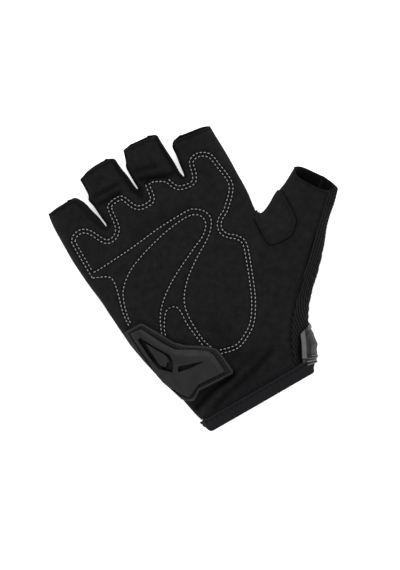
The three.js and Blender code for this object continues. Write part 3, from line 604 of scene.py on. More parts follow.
def distance_to(points, targets):
    tree = mathutils.kdtree.KDTree(len(targets))
    for index, target in enumerate(targets):
        tree.insert(target, index)
    tree.balance()
    return np.array([tree.find(point)[2] for point in points])


def open_edges(faces, count):
    """Edges that only one triangle uses, in its own direction."""
    edges = np.vstack([faces[:, [0, 1]], faces[:, [1, 2]], faces[:, [2, 0]]])
    codes = edges[:, 0] * count + edges[:, 1]
    return edges[~np.isin(codes, edges[:, 1] * count + edges[:, 0])]


def shell(top, bottom, faces):
    """A closed wall between an outer and an inner copy of triangles."""
    count = len(top)
    a, b = open_edges(faces, count).T
    walls = np.vstack([np.c_[b, a, a + count], np.c_[b, a + count, b + count]])
    return np.vstack([top, bottom]), np.vstack([faces, faces[:, ::-1] + count, walls])


def triangles_of(quads):
    faces = np.vstack([quads[:, [0, 1, 2]], quads[:, [0, 2, 3]]])
    different = (faces[:, 0] != faces[:, 1]) & (faces[:, 1] != faces[:, 2])
    return faces[different & (faces[:, 2] != faces[:, 0])]


def grid_quads(ids):
    return np.stack([ids[:-1, :-1], ids[:-1, 1:], ids[1:, 1:], ids[1:, :-1]], -1).reshape(-1, 4)


class Sheet:
    """Grids of places on the glove's surface, joined into one wall with rounded rims."""

    def __init__(self):
        self.rows, self.quads, self.count = [], [], 0

    def add(self, places, sides, low=-WALL, high=0, flip=False):
        shape = places.shape[:2]
        ids = self.count + np.arange(shape[0] * shape[1]).reshape(shape)
        quads = grid_quads(ids)
        self.quads.append(quads[:, ::-1] if flip else quads)
        columns = [np.broadcast_to(given, shape) for given in (sides, low, high)]
        self.rows.append(np.dstack([places, *columns]).reshape(-1, 5))
        self.count += ids.size
        return self

    def build(self, relief):
        """Points, faces and tones of painted light and shade. relief(places, sides, from_rim) adds height
        and tone.
        """
        rows = np.vstack(self.rows)
        keys = np.c_[np.round(rows[:, :2] * 1000), rows[:, 2]].astype(int)
        _, first, back = np.unique(keys, axis=0, return_index=True, return_inverse=True)
        places, (sides, low, high) = rows[first, :2], rows[first, 2:].T
        faces = triangles_of(back.reshape(-1)[np.vstack(self.quads)])

        points, normals = surface(places, sides)
        radius = (high - low) / 2
        from_rim = distance_to(points, points[np.unique(open_edges(faces, len(places)))])
        near_rim = np.clip(from_rim / radius, 0, 1)
        shrink = RIM_ROUNDING * radius * (1 - np.sqrt(1 - (1 - near_rim) ** 2))
        added, tone = relief(places, sides, from_rim)
        top = points + normals * (high - shrink + added)[:, None]
        bottom = points + normals * (low + shrink)[:, None]
        # Painted shade on the inner side, lighter towards the rims
        painted_inner_shade = PAINTED_INNER_SHADE.deep + PAINTED_INNER_SHADE.rim * bell(from_rim, PAINTED_INNER_SHADE.reach)
        return *shell(top, bottom, faces), np.hstack([tone, painted_inner_shade])


def strip_inset(edge, row, side):
    """Distance of a finger strip's seam from the outline of its gap."""
    seams = edge.seams
    on_left_finger = row < seams.web_row
    length = np.where(on_left_finger, seams.web_row, edge.last - seams.web_row)
    up = np.abs(row - seams.web_row) / length
    left = between(seams.web, seams.middle, smooth(2 * up))
    left += (seams.tip - seams.middle) * np.clip(2 * up - 1, 0, 1) ** RIM_REACH
    right = between(seams.web, seams.right, smooth(up * RIM_REACH))
    back = between(seams.web, BACK_SEAM, smooth(2 * up))
    return np.where(side < 0, back, np.where(on_left_finger, left, right))


def panel_edge(edge, row, side):
    """Edge of a panel: at the outline itself, or along a strip's seam."""
    row = np.asarray(row, float)
    if edge.seams is None:
        return edge.at(row, MEETING)
    return edge.at(row, strip_inset(edge, row, side) + SEAM_GAP / 2)


def back_seam(row, inset):
    """Seam of the side panel on the back, level where it meets the hem."""
    level = smooth(1 - (THUMB.last - HEM_ROW - row) / CUFF_TURN_ROWS)[..., None]
    return between(THUMB.at(row, inset), THUMB.at(row) - [inset, 0], level)


def side_seam(share, side):
    share = np.asarray(share, float)
    if side > 0:
        return SEAM_CURVE.at(share * SEAM_CURVE.last, SEAM_GAP / 2)
    return back_seam(share * (THUMB.last - HEM_ROW), SIDE_PANEL_BACK_WIDTH + SEAM_GAP / 2)


def stub_rows(stub, side, left_at, right_at, across, up):
    rows = between(left_at(up)[:, None], right_at(up)[:, None], across[:, None])
    return stub.bowed(rows, side, up[:, None])


def blended_rows(top, bottom, left_at, right_at, down):
    """Rows between two rows, with ends that follow two side curves."""
    def along(row):
        reach = np.linalg.norm(row - row[0], axis=1)
        return reach / reach[-1]

    share = np.clip(between(along(top), along(bottom), down[:, None]), 0, 1)[..., None]
    rows = between(top, bottom, down[:, None, None])
    left_shift = (left_at(down) - rows[:, 0])[:, None]
    right_shift = (right_at(down) - rows[:, -1])[:, None]
    return rows + left_shift * (1 - share) + right_shift * share


def hand_panel(side, detail):
    """Palm panel or back panel: four finger stubs, the thumb and the hand."""
    sheet = Sheet()
    knuckles = []
    base = THUMB_BASE.seam if side > 0 else THUMB_BASE.edge
    gap = np.array([0, SEAM_GAP / 2])

    def add(places):
        sheet.add(places, side, flip=side < 0)

    def follow(edge, start, end):
        return lambda share: panel_edge(edge, between(start, end, share), side)

    for stub in STUBS[:-1]:
        left, right = stub.left, stub.right
        left_base = PINKY_BASE_ROW if left is PINKY else left.seams.web_row
        right_base = INDEX_BASE_ROW if right is CROTCH else right.seams.web_row
        rows = stub_rows(
            stub, side, follow(left, left_base, left.last), follow(right, right_base, 0),
            eased(detail.finger_columns), eased(detail.finger_rows))
        add(rows)
        knuckles.append(rows[0][1 if knuckles else 0:])
    knuckle_row = np.vstack(knuckles)
    middle_row = between(
        panel_edge(PINKY, PALM_MIDDLE_ROW, side), panel_edge(CROTCH, CROTCH_ROW, side),
        eased(len(knuckle_row) - 1)[:, None])
    add(blended_rows(
        knuckle_row, middle_row, follow(PINKY, PINKY_BASE_ROW, PALM_MIDDLE_ROW),
        follow(CROTCH, INDEX_BASE_ROW, CROTCH_ROW), shares(detail.upper_rows))[::-1])
    thumb = stub_rows(
        STUBS[-1], side, follow(CROTCH, CROTCH_ROW, CROTCH.last),
        lambda up: side_seam(between(base, 0, up), side),
        eased(detail.thumb_columns), eased(detail.thumb_rows))
    add(thumb)
    wrist_row = np.vstack([middle_row, thumb[0][1:]])
    hem_row = between(
        panel_edge(PINKY, HEM_ROW, side) + gap, side_seam(1, side) + gap,
        eased(len(wrist_row) - 1)[:, None])
    pinky_side = follow(PINKY, PALM_MIDDLE_ROW, HEM_ROW)
    add(blended_rows(
        wrist_row, hem_row, lambda down: pinky_side(down) + gap * down[:, None],
        lambda down: side_seam(between(base, 1, down), side) + gap * down[:, None],
        eased(detail.lower_rows, LOWER_EASE))[::-1])
    return sheet


def wrap_columns(palm, back, power):
    """Sides and shares of columns that wrap round the edge."""
    sides = np.hstack([np.ones(palm), [0], -np.ones(back)])
    return sides, np.hstack([shares(palm)[:0:-1], shares(back)]) ** power


def tucked(reach, seam):
    """How far a wall sinks where its reach passes the seam and goes under a panel."""
    return TUCK.depth * smooth((reach - seam) / TUCK.turn + 1)


def finger_strip(edge):
    """Strip between two fingers: up one side of the gap, round the web, up the other."""
    web_row = edge.seams.web_row
    down = between(0, web_row, eased(STRIP_GRID.rows))
    up = between(web_row, edge.last, eased(STRIP_GRID.rows))
    rows = np.hstack([down, up[1:]])
    sides, share = wrap_columns(STRIP_GRID.columns, STRIP_GRID.columns, STRIP_GRID.power)
    row = np.broadcast_to(rows[:, None], (len(rows), len(sides)))
    seam = strip_inset(edge, row, sides)
    inset = np.maximum((seam + TUCK.reach) * share, AT_EDGE)
    places = edge.at(row, inset)
    before = edge.start_stub.bowed(places, sides, 1 - row / web_row)
    after = edge.end_stub.bowed(places, sides, (row - web_row) / (edge.last - web_row))
    places = np.where((row < web_row)[..., None], before, after)
    sunk = tucked(inset, seam)
    return Sheet().add(places, sides, -WALL - sunk, -sunk, True)


def side_panel():
    """Ribbed panel along the outer edge of the thumb and the wrist."""
    on_thumb = np.hstack([shares(SIDE_ROWS.thumb), np.ones(SIDE_ROWS.hand)])
    on_hand = np.hstack([np.zeros(SIDE_ROWS.thumb), shares(SIDE_ROWS.hand)])
    edge_row = between(THUMB_BASE.edge * on_thumb, 1, on_hand) * (THUMB.last - HEM_ROW)
    seam_row = between(THUMB_BASE.seam * on_thumb, 1, on_hand) * SEAM_CURVE.last
    up = np.stack([np.zeros_like(on_hand), on_hand * SEAM_GAP / 2], -1)
    seam = (SEAM_CURVE.at(seam_row, TUCK.reach) + up)[:, None]
    rim = (THUMB.at(edge_row) + up)[:, None]
    back = (back_seam(edge_row, SIDE_PANEL_BACK_WIDTH + TUCK.reach) + up)[:, None]
    sides, share = wrap_columns(SIDE_COLUMNS.palm, SIDE_COLUMNS.back, SIDE_COLUMNS.power)
    far = np.where(sides[None, :, None] > 0, seam, back)
    full = np.linalg.norm(far - rim, axis=2)
    sunk = tucked(full * share, full - TUCK.reach)
    places = STUBS[-1].bowed(between(rim, far, share[:, None]), sides, 1 - on_thumb[:, None])
    return Sheet().add(places, sides, -WALL - sunk, -sunk, True)


def cuff_places(share):
    """Rows of the hem: share runs from its seam to its rim."""
    row = HEM_ROW * (1 - share)
    inset = AT_EDGE + HEM.inwards * np.maximum(-share, 0)
    across = eased(HEM_GRID.columns, HEM_GRID.column_ease)
    corner = np.where(across < 0.5, HEM.pinky_corner, HEM.thumb_corner)
    bow = (1 - np.abs(2 * across - 1) ** corner) * share[:, None]
    right = THUMB.at(THUMB.last - row, inset)[:, None]
    places = between(PINKY.at(row, inset)[:, None], right, across[:, None])
    places[..., 1] -= HEM.bow * bow + (SEAM_GAP / 2 * (1 - share))[:, None]
    return places


def hem_height(share):
    """A ridge at the seam, two grooves and a soft roll."""
    return (HEM.proud + HEM.roll * np.sin(np.pi * share)
            + HEM.ridge * bell(share - HEM.ridge_at, HEM.narrow)
            - HEM.line * bell(share - HEM.line_at, HEM.narrow)
            - HEM.groove * bell(share - HEM.stitches_at, HEM.wide))


def cuff_hem():
    share = between(-HEM.tuck, 1, eased(HEM_GRID.rows, HEM_GRID.row_ease))
    sunk = tucked(-share * HEM.depth, HEM.seam)[:, None]
    palm = cuff_places(share)
    loop = np.hstack([palm, palm[:, -2:0:-1], palm[:, :1]])
    inner = np.ones(HEM_GRID.columns - 1)
    sides = np.hstack([[0], inner, [0], -inner, [0]])
    return Sheet().add(loop, sides, -WALL - sunk, hem_height(share)[:, None] - sunk, True)


def wrist_strap():
    """Strap from under the tab, round the edge and across the back."""
    half = np.linspace(-1, 1, STRAP_GRID.rows + 1)
    edge_row = between(*STRAP.edge_rows, (half + 1) / 2)
    turn = np.stack([PINKY.at(edge_row, column[1]) for column in STRAP_TURN], axis=1)
    start = PINKY.at(edge_row, STRAP.fold_inset)[:, None]
    end = (STRAP.root_end + half[:, None] * STRAP.root_lean)[:, None]
    step = shares(STRAP_GRID.columns) ** STRAP_GRID.power
    on_back = (-1, 0, STRAP_CLEAR, STRAP_CLEAR + STRAP_WALL)
    sides, _, low, high = np.transpose(STRAP_TURN + [on_back] * len(step))
    places = np.hstack([turn, between(start, end, step[:, None])])
    return Sheet().add(places, sides, low, high, True)


def thumb_patch():
    outline = Edge(PATCH_OUTLINE)
    across = shares(PATCH_GRID.columns)
    top = CROTCH.at(between(PATCH.first_row, PATCH.last_row, across), PATCH.inset)
    bottom = outline.at(across * outline.last, 0)
    down = shares(PATCH_GRID.rows) ** PATCH_GRID.power
    places = between(top, bottom, down[:, None, None])
    return Sheet().add(places, 1, PATCH.low, PATCH.high, True)


def stitches(runs, size, height_at):
    """A small bent thread for each stitch: runs are lines on a side of the glove."""
    sections, around = THREAD_GRID.sections, THREAD_GRID.sides
    points, faces, count = [], [], 0
    bend = np.linspace(-1, 1, sections)
    radius = size.radius * np.sqrt(1 - THREAD_GRID.taper * bend**4)
    lift = size.lift - size.sink * bend**2
    turn = np.arange(around) * 2 * np.pi / around
    for line, side in runs:
        total = lengths_along(line)[-1]
        number = max(int(round(total / size.pitch)), 1)
        middle = (np.arange(number) + 0.5) * total / number
        places = resampled(line, middle[:, None] + bend * size.length / 2).reshape(-1, 2)
        centre, normal = surface(places, np.full(len(places), float(side)))
        centre = (centre + normal * height_at(places)[:, None]).reshape(number, sections, 3)
        normal = normal.reshape(number, sections, 3)
        across = unit(np.cross(unit(np.gradient(centre, axis=1)), normal))
        centre = centre + normal * lift[None, :, None]
        ring = (across[:, :, None] * np.cos(turn)[:, None]
                + normal[:, :, None] * np.sin(turn)[:, None] * THREAD_GRID.flatness)
        points.append((centre[:, :, None] + ring * radius[None, :, None, None]).reshape(-1, 3))
        ids = count + np.arange(number * sections * around).reshape(number, sections, around)
        after = np.roll(ids, -1, axis=2)
        walls = np.stack([ids[:, :-1], after[:, :-1], after[:, 1:], ids[:, 1:]], -1)
        faces += walls.reshape(-1, 4).tolist() + ids[:, 0, ::-1].tolist() + ids[:, -1].tolist()
        count += ids.size
    return np.vstack(points), faces


def quilt_lines():
    outer = spline(OUTER_ROW)
    start = round(DOUBLE_ROW_FROM * LINE_STEPS)
    inner = outer[start:] + to_the_right(outer)[start:] * DOUBLE_ROW_SPACING
    return [outer, inner, spline(KNUCKLE_ROW), spline(HEEL_ROW), spline(SMALL_LOOP)]


def white_runs():
    """The quilting without the stretch that a fold hides."""
    outer, *others = quilt_lines()
    first, last = (round(row * LINE_STEPS) for row in HIDDEN_IN_FOLD)
    return [(line, 1) for line in (outer[:first], outer[last:], *others)]


def below_opening(places):
    """How far places lie below the rim of the finger opening above them."""
    below = np.full(len(places), np.inf)
    for stub in STUBS[:-1]:
        share, bow = stub.bow(places)
        depth = np.abs(stub.palm * bow - (places - stub.corner) @ stub.out)
        below = np.where(np.abs(share - 0.5) < 0.5, np.minimum(below, depth), below)
    return below


def quilt_relief(places, sides=None, from_rim=None):
    """Padded palm: channels along the stitches, creases and seams."""
    lines = quilt_lines()
    near = np.min([nearest(places, line)[0] for line in lines], axis=0)
    channel = bell(near, QUILT.channel_width)
    swell = QUILT.pad * (1 - np.exp(-near / QUILT.pad_width))
    height = np.where(inside(places, lines[0]), swell, 0) - QUILT.channel * channel
    # Painted shade along the stitch channels
    tone = 1 - QUILT.dark * channel
    for depth, width, dark, line in CREASES:
        shape = bell(from_line(places, *line), width)
        height -= depth * shape
        # Painted shade in the crease; a value below zero paints light on a ridge
        tone *= 1 - dark * shape
    x, y = places.T
    ripple = np.sin(x / RIPPLE.x + RIPPLE.bend * np.sin(y / RIPPLE.bend_y))
    height += RIPPLE.height * ripple * np.sin(y / RIPPLE.y + RIPPLE.shift)
    if from_rim is None:
        return height
    # Painted shade in the seam groove, the patch's painted shadow, painted shade at the rims, the tab's
    # painted shadow and painted shade in the folds below the openings
    groove = bell(from_rim - SEAM_GROOVE.at, SEAM_GROOVE.width)
    tone *= 1 - SEAM_GROOVE.dark * groove
    tone *= shaded(nearest(places, spline(PATCH_OUTLINE))[0], *PALM_SHADES.patch)
    tone *= shaded(from_rim, np.where(y < CUFF_TOP, *PALM_SHADES.cuff_and_rim), PALM_SHADES.rim_width)
    tone *= shaded(from_line(places, *TAB_OUTLINE[1:13]), *PALM_SHADES.tab)
    tone *= shaded(below_opening(places) - TIP_FOLD, *PALM_SHADES.fold)
    return height - SEAM_GROOVE.depth * groove, tone


def rib_relief(places, sides, from_rim):
    """Ribs with small knots along them, painted lighter on their crests and darker in their hollows, the
    anchor's hollow with its shadow painted in, and painted shade near the rim.
    """
    x, y = places.T
    turned = smooth((RIB_STEPS - RIB_TURN.from_y) / (RIB_TURN.to_y - RIB_TURN.from_y))
    slopes = between(RIB_TURN.wrist_slope, RIB_TURN.thumb_slope, turned)
    guide = np.hstack([[0], np.cumsum((slopes[1:] + slopes[:-1]) / 2 * np.diff(RIB_STEPS))])
    stretch = np.sqrt(1 + np.interp(y, RIB_STEPS, slopes) ** 2)
    rim_x, rim_y = THUMB.line[::-1].T
    past_rim = np.where(sides < 0, 2 * (np.interp(y, rim_y, rim_x) - x), 0)
    sunk = (SEAM_HEIGHT - surface(places, sides)[0][:, 2]) * np.where(sides < 0, 1, RIB.lean)
    phase = ((x + past_rim - np.interp(y, RIB_STEPS, guide)) / stretch + sunk) / RIB.pitch
    knots = np.cos(2 * np.pi * y * stretch / RIB.stitch_pitch + np.pi * np.floor(phase))
    rib = np.cos(2 * np.pi * phase) * (1 + RIB.knot * knots)
    # Painted light on the rib crests and painted shade between them
    height, tone = RIB.height * rib, np.clip(1 + RIB.dark * rib, *RIB_TONES)
    for x1, y1, x2, y2, depth, width, dark in ROOT_HOLLOW:
        shape = bell(from_line(places, (x1, y1), (x2, y2)), width) * (sides > 0)
        height -= depth * shape
        # The anchor's shadow painted into the hollow
        tone *= 1 - dark * shape
    return height, tone * between(RIM_TONE.ribs, 1, smooth(from_rim / RIM_TONE.ribs_reach))


def plain_relief(places, sides, from_rim, shade=1):
    # Painted shade near the rim, times the strip's painted light or shade
    tone = between(RIM_TONE.plain, 1, smooth(from_rim / RIM_TONE.plain_reach))
    return np.zeros(len(places)), tone * shade


def patch_relief(places, sides, from_rim):
    groove = bell(from_rim - PATCH_STITCHES.inset, PATCH_STITCHES.width)
    # Painted shade in the groove along the stitches
    return -PATCH_STITCHES.groove * groove, 1 - PATCH_STITCHES.dark * groove


def hem_relief(places, sides, from_rim):
    """Darker dots along its stitches, painted shade in their holes, a painted highlight along a line near
    the seam, and slight puckers.
    """
    down = HEM.seam_y - places[:, 1]
    wave = np.cos(2 * np.pi * places[:, 0] / HEM_THREAD.pitch)
    lines = (0.5 + 0.5 * wave) ** 2 * bell(down - HEM_SHADE.dots_at, HEM_SHADE.dots_width)
    lines -= HEM_SHADE.line * bell(down - HEM_SHADE.line_at, HEM_SHADE.line_width)
    pucker = HEM_SHADE.pucker * wave * bell(down - HEM_SHADE.pucker_at, HEM_SHADE.pucker_width)
    return pucker, 1 - HEM_SHADE.dark * lines


def root_profile(row):
    """Section of the anchor at each row: insets from the edge, heights and tones of painted light and shade.
    """
    rows = np.arange(len(THUMB.line)) / LINE_STEPS
    along = lengths_along(THUMB.line)
    here, lines = np.interp(row, rows, along), np.interp(ROOT_LINES, rows, along)
    groove = bell(here[:, None] - lines, ROOT.line_width).max(1)
    rise = np.interp(row, *np.transpose(ROOT_RISE))
    on_strip = smooth((ROOT.strip_end - row) / ROOT.strip_fade)
    skew = ROOT.skew * (1 - smooth((row - ROOT.skew_to) / ROOT.skew_until))

    def palm_height(inset):
        return surface(THUMB.at(row + skew * (inset - ROOT.skew_from), inset), 1)[0][:, 2]

    start, end = ROOT.strip
    inner = between(end + ROOT.join, start, on_strip)
    cut = ROOT.line_depth * groove
    crest = ROOT.crest_rise * np.clip(1 - np.abs(row - ROOT.crest) / ROOT.crest_width, 0, 1)
    insets = (inner + ROOT.lip, inner, end, ROOT.step, ROOT.face)
    measured = (inner + ROOT.lip, inner, end, ROOT.step_level, ROOT.face_level)
    cuts = (0, 0, cut * (1 - on_strip), cut, cut)
    knots = [
        (inset, palm_height(at) + between(*level, on_strip) - line)
        for inset, at, level, line in zip(insets, measured, ROOT_LEVELS, cuts)
    ]
    knots += [
        (part * rise + inset + line * groove, height + top * crest - top * cut)
        for part, inset, line, height, top in ROOT_OUTSIDE
    ]
    lower = smooth((row - ROOT.crest) / ROOT.crest_fade)
    ends = smooth(np.maximum(ROOT.first_edge - row, row - ROOT.ridges_from) / ROOT.band_fade)
    # Painted light and shade of the faces, the end bands, the line grooves, the strip and the step
    face = between(between(ROOT_TONE.upper, ROOT_TONE.lower, lower), ROOT_TONE.band, ends)
    face = between(face, ROOT_TONE.line, groove)
    strip = between(face, ROOT_TONE.strip, on_strip)
    step = np.minimum(face, between(face, ROOT_TONE.step, on_strip))
    return knots, [strip] * 3 + [step] * 2 + [face] * 6, skew


def strap_root():
    """Moulded anchor: a raised strip, a step and a face that wraps round the edge."""
    row = between(ROOT_RISE[0][0], ROOT_RISE[-1][0], shares(ROOT_GRID_ROWS) ** ROOT.row_ease)
    knots, tones, skew = root_profile(row)
    outer, inner, tone = [], [], []
    for i, pieces in enumerate(ROOT_SEGMENTS):
        (inset, height), (next_inset, next_height) = knots[i], knots[i + 1]
        for share in shares(pieces)[(1 if i else 0):]:
            here = between(inset, next_inset, share)
            place = THUMB.at(row + skew * (here - ROOT.skew_from) * (i < ROOT.skewed), here)
            level = between(height, next_height, share) + 0 * row
            outer.append(np.c_[place, level])
            tone.append(tones[i] if share < 0.5 else tones[i + 1])
    for turn in np.linspace(ROOT.strip[0], -ROOT.under_to, len(outer)):
        inset = max(abs(turn), AT_EDGE)
        shift = skew * (inset - ROOT.skew_from) * (turn > 0)
        side = np.full(len(row), float(np.sign(turn)))
        points, normals = surface(THUMB.at(row + shift, inset), side)
        inner.append(points + normals * ROOT.clear)
    ids = np.arange(len(outer) * len(row)).reshape(len(outer), len(row))
    faces = triangles_of(grid_quads(ids))
    return *shell(np.vstack(outer), np.vstack(inner), faces), np.hstack([*tone, np.ones(ids.size)])


def tab_height(places):
    """Height and painted light and shade of the tab: flange, groove, cord, bevel, window and slot."""
    rim, middle, top = (inside_distance(places, part) for part in (TAB_OUTLINE, TAB_MIDDLE, TAB_TOP))
    left_side = TAB_MIDDLE[TAB_LEFT_FROM:] + TAB_MIDDLE[:1]
    on_left = from_line(places, *left_side) < TAB.left_within - middle
    height = TAB.flange - TAB.edge_round * (1 - np.clip(rim / TAB.edge_round, 0, 1)) ** 2
    groove = np.where(on_left, middle + TAB.left_groove, rim - TAB.groove_at)
    groove = np.clip(groove / TAB.wall, 0, 1)
    x, y = places.T
    along = (TAB.bead_x * x - TAB.bead_y * y) / TAB.cord_pitch
    beads = 1 - TAB.bead + TAB.bead * np.cos(2 * np.pi * along)
    cord = np.where(on_left, 0, bell(rim - TAB.cord_at, TAB.cord_width) * beads)
    height += TAB.cord * cord - TAB.groove * groove
    # Painted light on the flange, painted shade in the groove, less of it on the cord
    tone = between(TAB_TONE.flange, between(TAB_TONE.groove, TAB_TONE.cord, cord), groove)

    up = np.clip(middle / TAB.wall, 0, 1)
    share = np.where(top >= 0, 1, middle / np.maximum(middle - top, 1e-6))
    height = between(height, between(TAB.shoulder, TAB.middle, share), up)
    # Painted highlight on the bevel round the level top
    tone = between(tone, np.where(top >= 0, 1, TAB_TONE.bevel), up)
    # Painted shade on the floors of the window and the slot, painted light on the island
    for corners, level, shade in TAB_CUTS:
        cut = np.clip(inside_distance(places, corners) / TAB.wall, 0, 1)
        height = between(height, level, cut)
        tone = between(tone, shade, np.sqrt(cut))
    return height, tone


def strap_tab():
    """Moulded tab as a fine height field over the palm."""
    rim = closed(TAB_OUTLINE)
    rings = []
    for corners in (TAB_MIDDLE, TAB_TOP, TAB_WINDOW, TAB_ISLAND, TAB_SLOT):
        ring = closed(corners)
        rings += [ring, drawn_in(ring, TAB.wall)]
    rings += [drawn_in(rim, TAB.groove_at), drawn_in(rim, TAB.groove_at + TAB.wall)]
    rings = np.vstack(rings)
    _, first = np.unique(np.round(rings / TAB.merge), axis=0, return_index=True)
    rings = rings[np.sort(first)]
    (left, low), (right, high) = rim.min(0), rim.max(0)
    grid = np.stack(np.meshgrid(
        np.arange(left, right, TAB.cell), np.arange(low, high, TAB.cell * math.sqrt(0.75))), -1)
    grid[1::2, :, 0] += TAB.cell / 2
    grid = grid.reshape(-1, 2)
    clear = distance_to(*(np.c_[flat, np.zeros(len(flat))] for flat in (grid, rings)))
    inner = np.vstack([rings, grid[clear > TAB.least_gap]])
    inner = inner[inside_distance(inner, rim) > TAB.least_gap]
    loop = [(i, (i + 1) % len(rim)) for i in range(len(rim))]
    result = mathutils.geometry.delaunay_2d_cdt(
        [mathutils.Vector(place) for place in np.vstack([rim, inner])], loop, [], 1, 1e-6)
    places, faces = np.array([list(place) for place in result[0]]), np.array(result[2])
    height, tone = tab_height(places)
    foot = surface(places, np.ones(len(places)), TAB.foot_depth)[0] + [0, 0, TAB.lift]
    top = foot + height[:, None] * [0, 0, 1]
    return *shell(top, foot - [0, 0, TAB.skirt], faces), np.hstack([tone, np.ones(len(tone))])


class Nodes:
    """A material, and short calls for the nodes that feed its shader."""

    def __init__(self, name, roughness, specular, sheen=0, sheen_roughness=0.5):
        self.material = bpy.data.materials.new(name)
        self.material.use_nodes = True
        self.tree = self.material.node_tree
        self.shader = self.feed(self.tree.nodes["Principled BSDF"], {
            "Roughness": roughness, "Specular IOR Level": specular,
            "Sheen Weight": sheen, "Sheen Roughness": sheen_roughness})
        self.place = self.add("ShaderNodeTexCoord").outputs["Object"]

    def feed(self, node, inputs):
        for key, value in inputs.items():
            if isinstance(value, bpy.types.NodeSocket):
                self.tree.links.new(value, node.inputs[key])
            else:
                node.inputs[key].default_value = value
        return node

    def add(self, kind, inputs={}, **settings):
        node = self.tree.nodes.new(kind)
        for key, value in settings.items():
            setattr(node, key, value)
        return self.feed(node, inputs)

    def noise(self, scale, detail=3, rough=0.6):
        return self.add("ShaderNodeTexNoise", {
            "Vector": self.place, "Scale": scale, "Detail": detail, "Roughness": rough,
        }).outputs["Fac"]

    def bands(self, pitch, direction, distortion):
        return self.add("ShaderNodeTexWave", {
            "Vector": self.place, "Scale": WAVE_SCALE / pitch, "Distortion": distortion,
        }, wave_type="BANDS", bands_direction=direction).outputs["Fac"]

    def math(self, operation, a, b):
        return self.add("ShaderNodeMath", {0: a, 1: b}, operation=operation).outputs[0]

    def blend(self, a, part, b):
        return self.math("ADD", self.math("MULTIPLY", a, part), self.math("MULTIPLY", b, 1 - part))

    def spread(self, value, low, high, to_low=0, to_high=1):
        return self.add("ShaderNodeMapRange", {
            "Value": value, "From Min": low, "From Max": high,
            "To Min": to_low, "To Max": to_high}).outputs["Result"]

    def mix(self, share, a, b):
        node = self.add("ShaderNodeMix", data_type="RGBA")
        self.tree.links.new(share, node.inputs["Factor"])
        for key, value in (("A", a), ("B", b)):
            socket = next(s for s in node.inputs if s.name == key and s.type == "RGBA")
            socket.default_value = (*value, 1)
        return next(s for s in node.outputs if s.type == "RGBA")

    def finished(self, variation, colour, contrast, roughness, height, depth, strength=1):
        """The material, its colour varied by a texture and by the piece's tones of painted light and shade.
        """
        # The tone attribute carries the painted light and shade of each piece
        tone = self.add("ShaderNodeAttribute", attribute_name="tone").outputs["Fac"]
        varied = self.spread(variation, 0, 1, (1 - contrast) / 2, (1 + contrast) / 2)
        double = tuple(2 * part for part in colour)
        bump = self.add("ShaderNodeBump", {"Height": height, "Strength": strength, "Distance": depth})
        self.feed(self.shader, {
            "Base Color": self.mix(self.math("MULTIPLY", tone, varied), (0, 0, 0), double),
            "Roughness": roughness, "Normal": bump.outputs["Normal"]})
        return self.material


def suede(name, colour):
    """Brushed synthetic suede: short nap with soft lighter and darker patches."""
    nodes = Nodes(name, 0.95, 0.04, sheen=0.02, sheen_roughness=0.6)
    patches = nodes.spread(nodes.noise(260, 4), 0.3, 0.7)
    nap = nodes.spread(nodes.noise(1400, 4, 0.7), 0.3, 0.7)
    return nodes.finished(
        nodes.blend(patches, 0.5, nap), colour, 0.56, nodes.spread(nap, 0, 1, 0.88, 1),
        nodes.noise(2600, 4, 0.7), 0.00012, 0.8)


def knit(name, colour, pitch, row_pitch, depth):
    """Knit cloth: ribs one way, finer rows of loops the other way."""
    nodes = Nodes(name, 0.9, 0.04, sheen=0.02)
    loops = nodes.spread(nodes.bands(row_pitch, "Y", 0.8), 0, 1, 0.55, 1)
    weave = nodes.math("MULTIPLY", nodes.bands(pitch, "X", 0.6), loops)
    fuzz = nodes.spread(nodes.noise(1800, 3), 0.3, 0.7)
    return nodes.finished(
        nodes.blend(weave, 0.65, fuzz), colour, 0.45, nodes.spread(fuzz, 0, 1, 0.82, 0.98),
        weave, depth)


def rubber(name, colour, specular, roughness):
    """Moulded rubber with a fine sparkle grain, and faint smears of wear."""
    nodes = Nodes(name, roughness, specular)
    smears = nodes.spread(nodes.noise(140, 4), 0.35, 0.7)
    return nodes.finished(
        smears, colour, 0.2, nodes.spread(smears, 0, 1, roughness + 0.06, roughness - 0.05),
        nodes.noise(3200, 2), 0.00005, 0.6)


def thread(name, colour):
    nodes = Nodes(name, 0.75, 0.15, sheen=0.05, sheen_roughness=0.4)
    twist = nodes.bands(0.0004, "DIAGONAL", 1)
    return nodes.finished(twist, colour, 0.4, nodes.spread(twist, 0, 1, 0.85, 0.65), twist, 0.00008)


# Colours, then for knits the pitches of ribs and rows and the depth, for rubber shine and roughness
MATERIALS = {
    name: make(name, *values)
    for make, rows in (
        (suede, [
            ("palm_suede", (0.0074, 0.0073, 0.0078)), ("patch_suede", (0.0078, 0.0077, 0.0082))]),
        (knit, [
            ("back_knit", (0.007, 0.007, 0.0075), 0.0016, 0.0011, 0.00018),
            ("strip_knit", (0.004, 0.004, 0.0044), 0.0009, 0.0011, 0.0001),
            ("side_mesh", (0.009, 0.0089, 0.0095), 0.0007, 0.0008, 0.00008),
            ("hem_binding", (0.0096, 0.0096, 0.0111), 0.0008, 0.0008, 0.00006),
            ("strap_webbing", (0.009, 0.009, 0.0096), 0.0012, 0.0018, 0.0002)]),
        (rubber, [
            ("tab_rubber", (0.0136, 0.0135, 0.0139), 0.12, 0.5),
            ("root_rubber", (0.05, 0.049, 0.05), 0.15, 0.45)]),
        (thread, [
            ("white_thread", (0.23, 0.23, 0.238)), ("black_thread", (0.0035, 0.0035, 0.0038))]))
    for name, *values in rows
}


